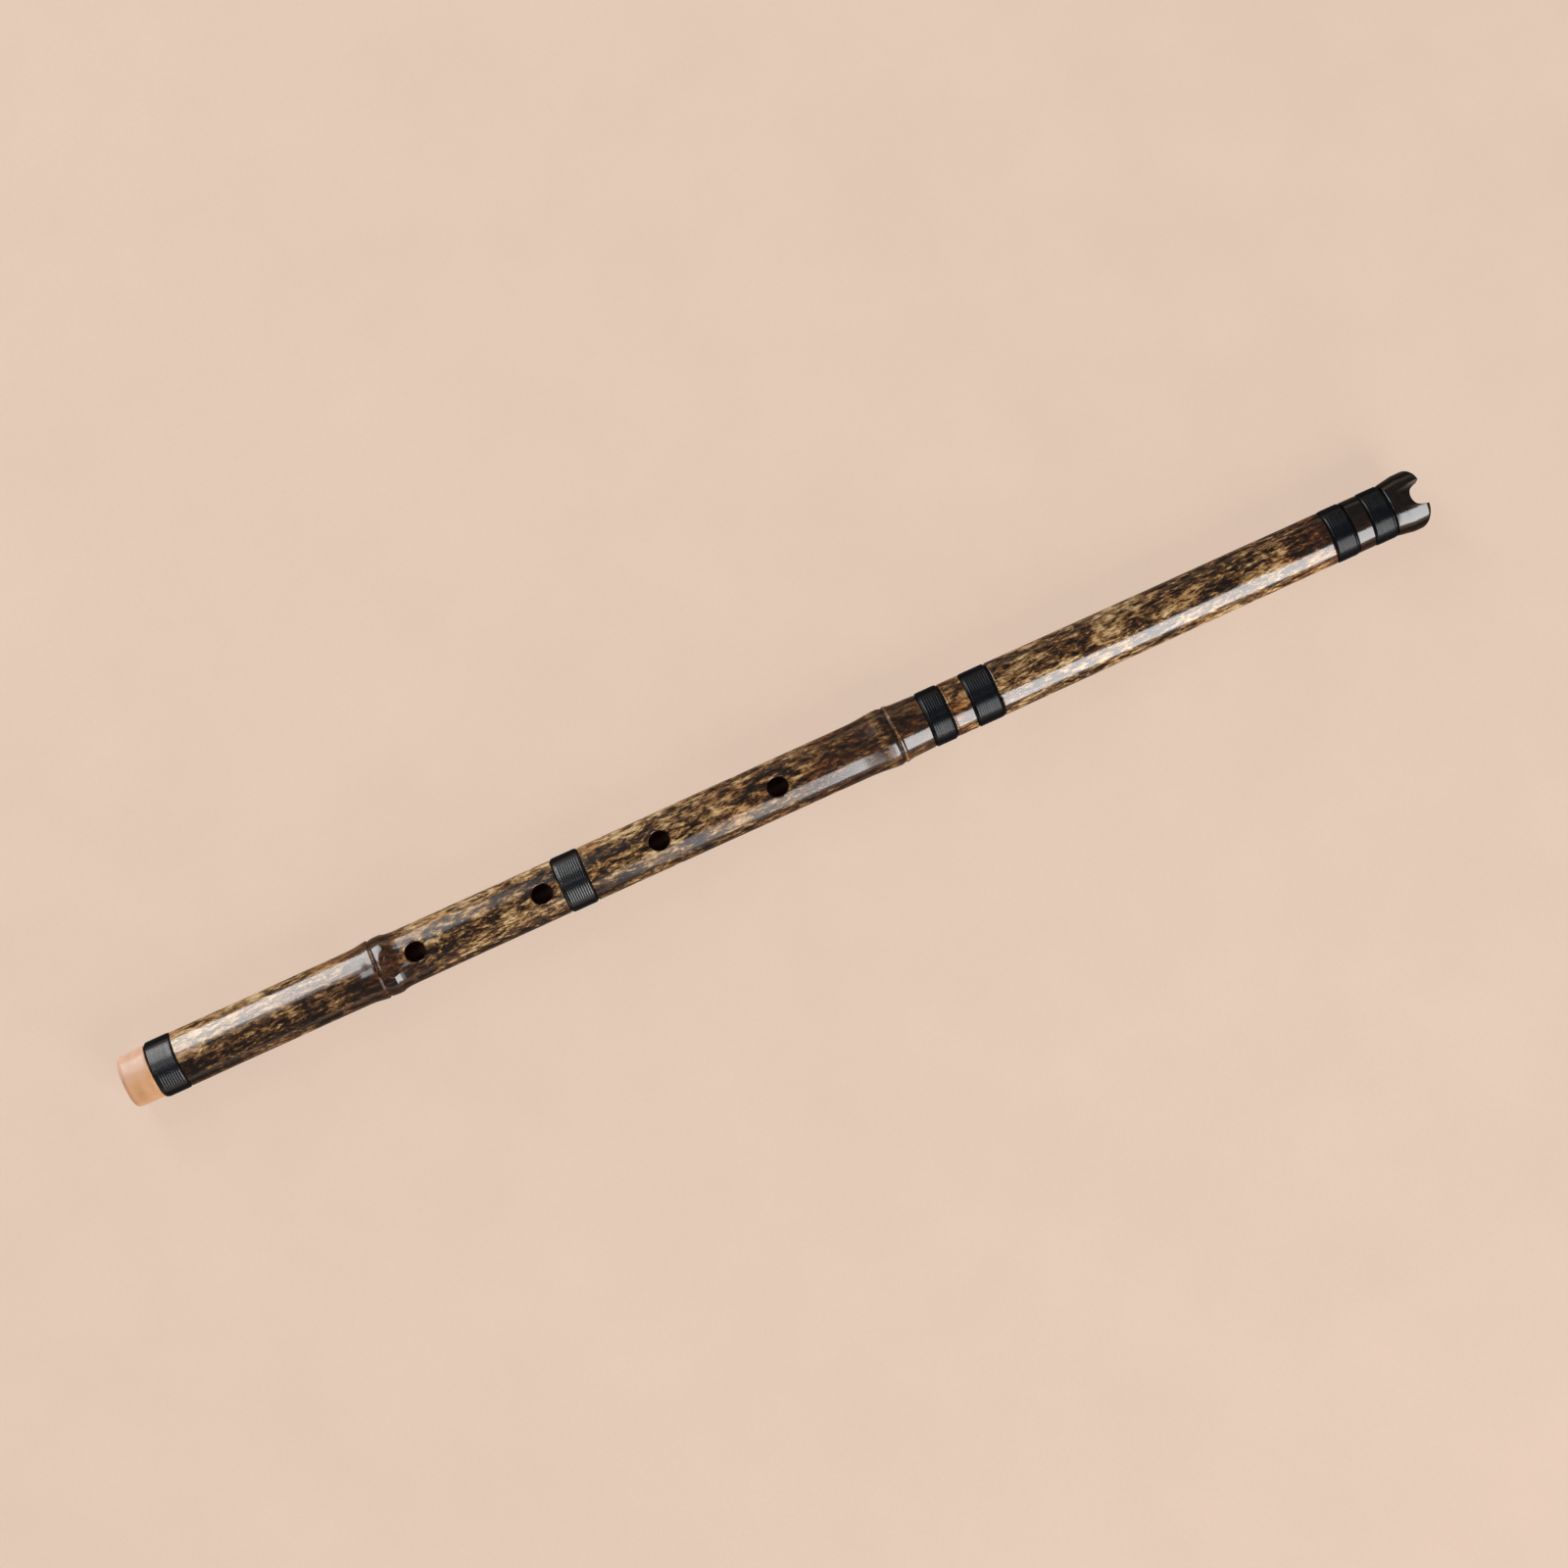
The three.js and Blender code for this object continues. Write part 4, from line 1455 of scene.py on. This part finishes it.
def floor_finish(stage):
    """Plain matt paper, faintly uneven, that shows near its own colour and keeps a soft shadow."""
    finish = Finish("floor_paper")
    cloud = finish.noise(finish.here(), 5, 0.6, scale=18)
    grain = finish.noise(finish.here(), 3, 0.6, scale=700)
    value = finish.calc("MULTIPLY_ADD", grain, 0.4, finish.calc("MULTIPLY", cloud, 0.6))
    paper = stage.floor_colour
    low = tuple(level * 0.965 for level in paper)
    high = tuple(min(1, level * 1.03) for level in paper)
    colour = finish.ramp(value, [(0.3, low), (0.7, high)])
    finish.shade(Base_Color=colour, Roughness=0.9, Specular_IOR_Level=0.1)
    glow = finish.node("Emission", {"Color": colour, "Strength": 1.0}).outputs[0]
    path = finish.node("LightPath").outputs
    seen = path["Is Camera Ray"]
    for ray in ("Is Glossy Ray", "Is Transmission Ray"):
        seen = finish.calc("MAXIMUM", seen, path[ray])
    seen = finish.calc("MULTIPLY", seen, FLOOR_GLOW)
    mixed = finish.node("MixShader", {0: seen, 1: finish.shader.outputs[0], 2: glow})
    output = finish.tree.nodes["Material Output"]
    finish.tree.links.new(mixed.outputs[0], output.inputs["Surface"])
    return finish.material


def softbox(name, reach, side, angles, brightness):
    """A soft lamp beside the flute, on the side of +Y or -Y, given as radiance. It covers a reach
    along X, and two angles off the vertical as seen from the bore."""
    low, high = (math.radians(angle) for angle in angles)
    middle, half = (low + high) / 2, (high - low) / 2
    data = bpy.data.lights.new(name, "AREA")
    data.shape = "RECTANGLE"
    data.size = reach[1] - reach[0]
    data.size_y = 2 * LAMP_DISTANCE * math.tan(half)
    data.energy = brightness * math.pi * data.size * data.size_y
    made = bpy.data.objects.new(name, data)
    bpy.context.scene.collection.objects.link(made)
    along = Vector((1, 0, 0))
    back = Vector((0, side * math.sin(middle), math.cos(middle)))
    turned = Matrix((along, back.cross(along), back)).transposed().to_4x4()
    place = Vector((sum(reach) / 2, 0, AXIS_HEIGHT)) + back * LAMP_DISTANCE
    made.matrix_world = Matrix.Translation(place) @ turned
    made.visible_camera = False


class FLUTE_OT_stage(bpy.types.Operator):
    """Lay the pale floor, and set up the lamps, the world and the camera"""

    bl_idname = "flute.stage"
    bl_label = "Stage"

    def execute(self, context):
        stage = context.scene.flute_stage
        signs = [(-1, -1, 0), (1, -1, 0), (1, 1, 0), (-1, 1, 0)]
        corners = FLOOR_HALF * np.array(signs)
        floor = make_piece("floor", None, corners, [[0, 1, 2, 3]], [floor_finish(stage)])
        for lamp in LAMPS:
            softbox(*lamp)
        world = bpy.data.worlds.new("studio")
        world.use_nodes = True
        background = world.node_tree.nodes["Background"]
        background.inputs["Color"].default_value = WORLD_COLOUR
        background.inputs["Strength"].default_value = WORLD_STRENGTH
        context.scene.world = world
        context.scene.view_settings.view_transform = "Standard"
        self.place_camera(context.scene, stage)
        return {"FINISHED"}

    def place_camera(self, scene, stage):
        """Sets the camera over the flute, leant and rolled as the photograph was taken."""
        data = bpy.data.cameras.new("camera")
        data.lens = stage.lens
        data.sensor_width = SENSOR_WIDTH
        data.clip_start, data.clip_end = 0.05, 50
        camera = bpy.data.objects.new("camera", data)
        scene.collection.objects.link(camera)
        back = Vector((-math.sin(stage.swing), -math.sin(stage.lean), 1)).normalized()
        along = (Vector((1, 0, 0)) - back * back.x).normalized()
        across = back.cross(along)
        right = along * math.cos(stage.roll) - across * math.sin(stage.roll)
        up = along * math.sin(stage.roll) + across * math.cos(stage.roll)
        aim = Vector((*AIM, AXIS_HEIGHT))
        turned = Matrix((right, up, back)).transposed().to_4x4()
        camera.matrix_world = Matrix.Translation(aim + back * stage.distance) @ turned
        scene.camera = camera


# Sidebar


OPERATORS = (
    FLUTE_OT_stage,
    FLUTE_OT_lower_culm,
    FLUTE_OT_upper_culm,
    FLUTE_OT_windings,
    FLUTE_OT_foot_ring,
    FLUTE_OT_joint,
)


class FLUTE_PT_sidebar(bpy.types.Panel):
    """Lists the flute's pieces and its stage"""

    bl_idname = "FLUTE_PT_sidebar"
    bl_label = "Bamboo Flute"
    bl_space_type = "VIEW_3D"
    bl_region_type = "UI"
    bl_category = "Flute"

    def draw(self, context):
        for operator in OPERATORS:
            self.layout.operator(operator.bl_idname)
        for key in ("flute_culm", "flute_winding", "flute_foot", "flute_stage"):
            settings = getattr(context.scene, key)
            box = self.layout.box()
            for name in settings.__annotations__:
                box.prop(settings, name)


GROUPS = {
    "flute_culm": FluteCulmSettings,
    "flute_winding": FluteWindingSettings,
    "flute_foot": FluteFootSettings,
    "flute_stage": FluteStageSettings,
}
CLASSES = (*GROUPS.values(), *OPERATORS, FLUTE_PT_sidebar)


def register():
    for cls in CLASSES:
        bpy.utils.register_class(cls)
    for key, group in GROUPS.items():
        setattr(bpy.types.Scene, key, PointerProperty(type=group))


def unregister():
    for key in GROUPS:
        delattr(bpy.types.Scene, key)
    for cls in reversed(CLASSES):
        bpy.utils.unregister_class(cls)


def main():
    """Registers the add-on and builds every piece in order."""
    register()
    bpy.ops.flute.stage()
    bpy.ops.flute.lower_culm()
    bpy.ops.flute.upper_culm()
    bpy.ops.flute.windings()
    bpy.ops.flute.foot_ring()
    bpy.ops.flute.joint()


if __name__ == "__main__":
    main()
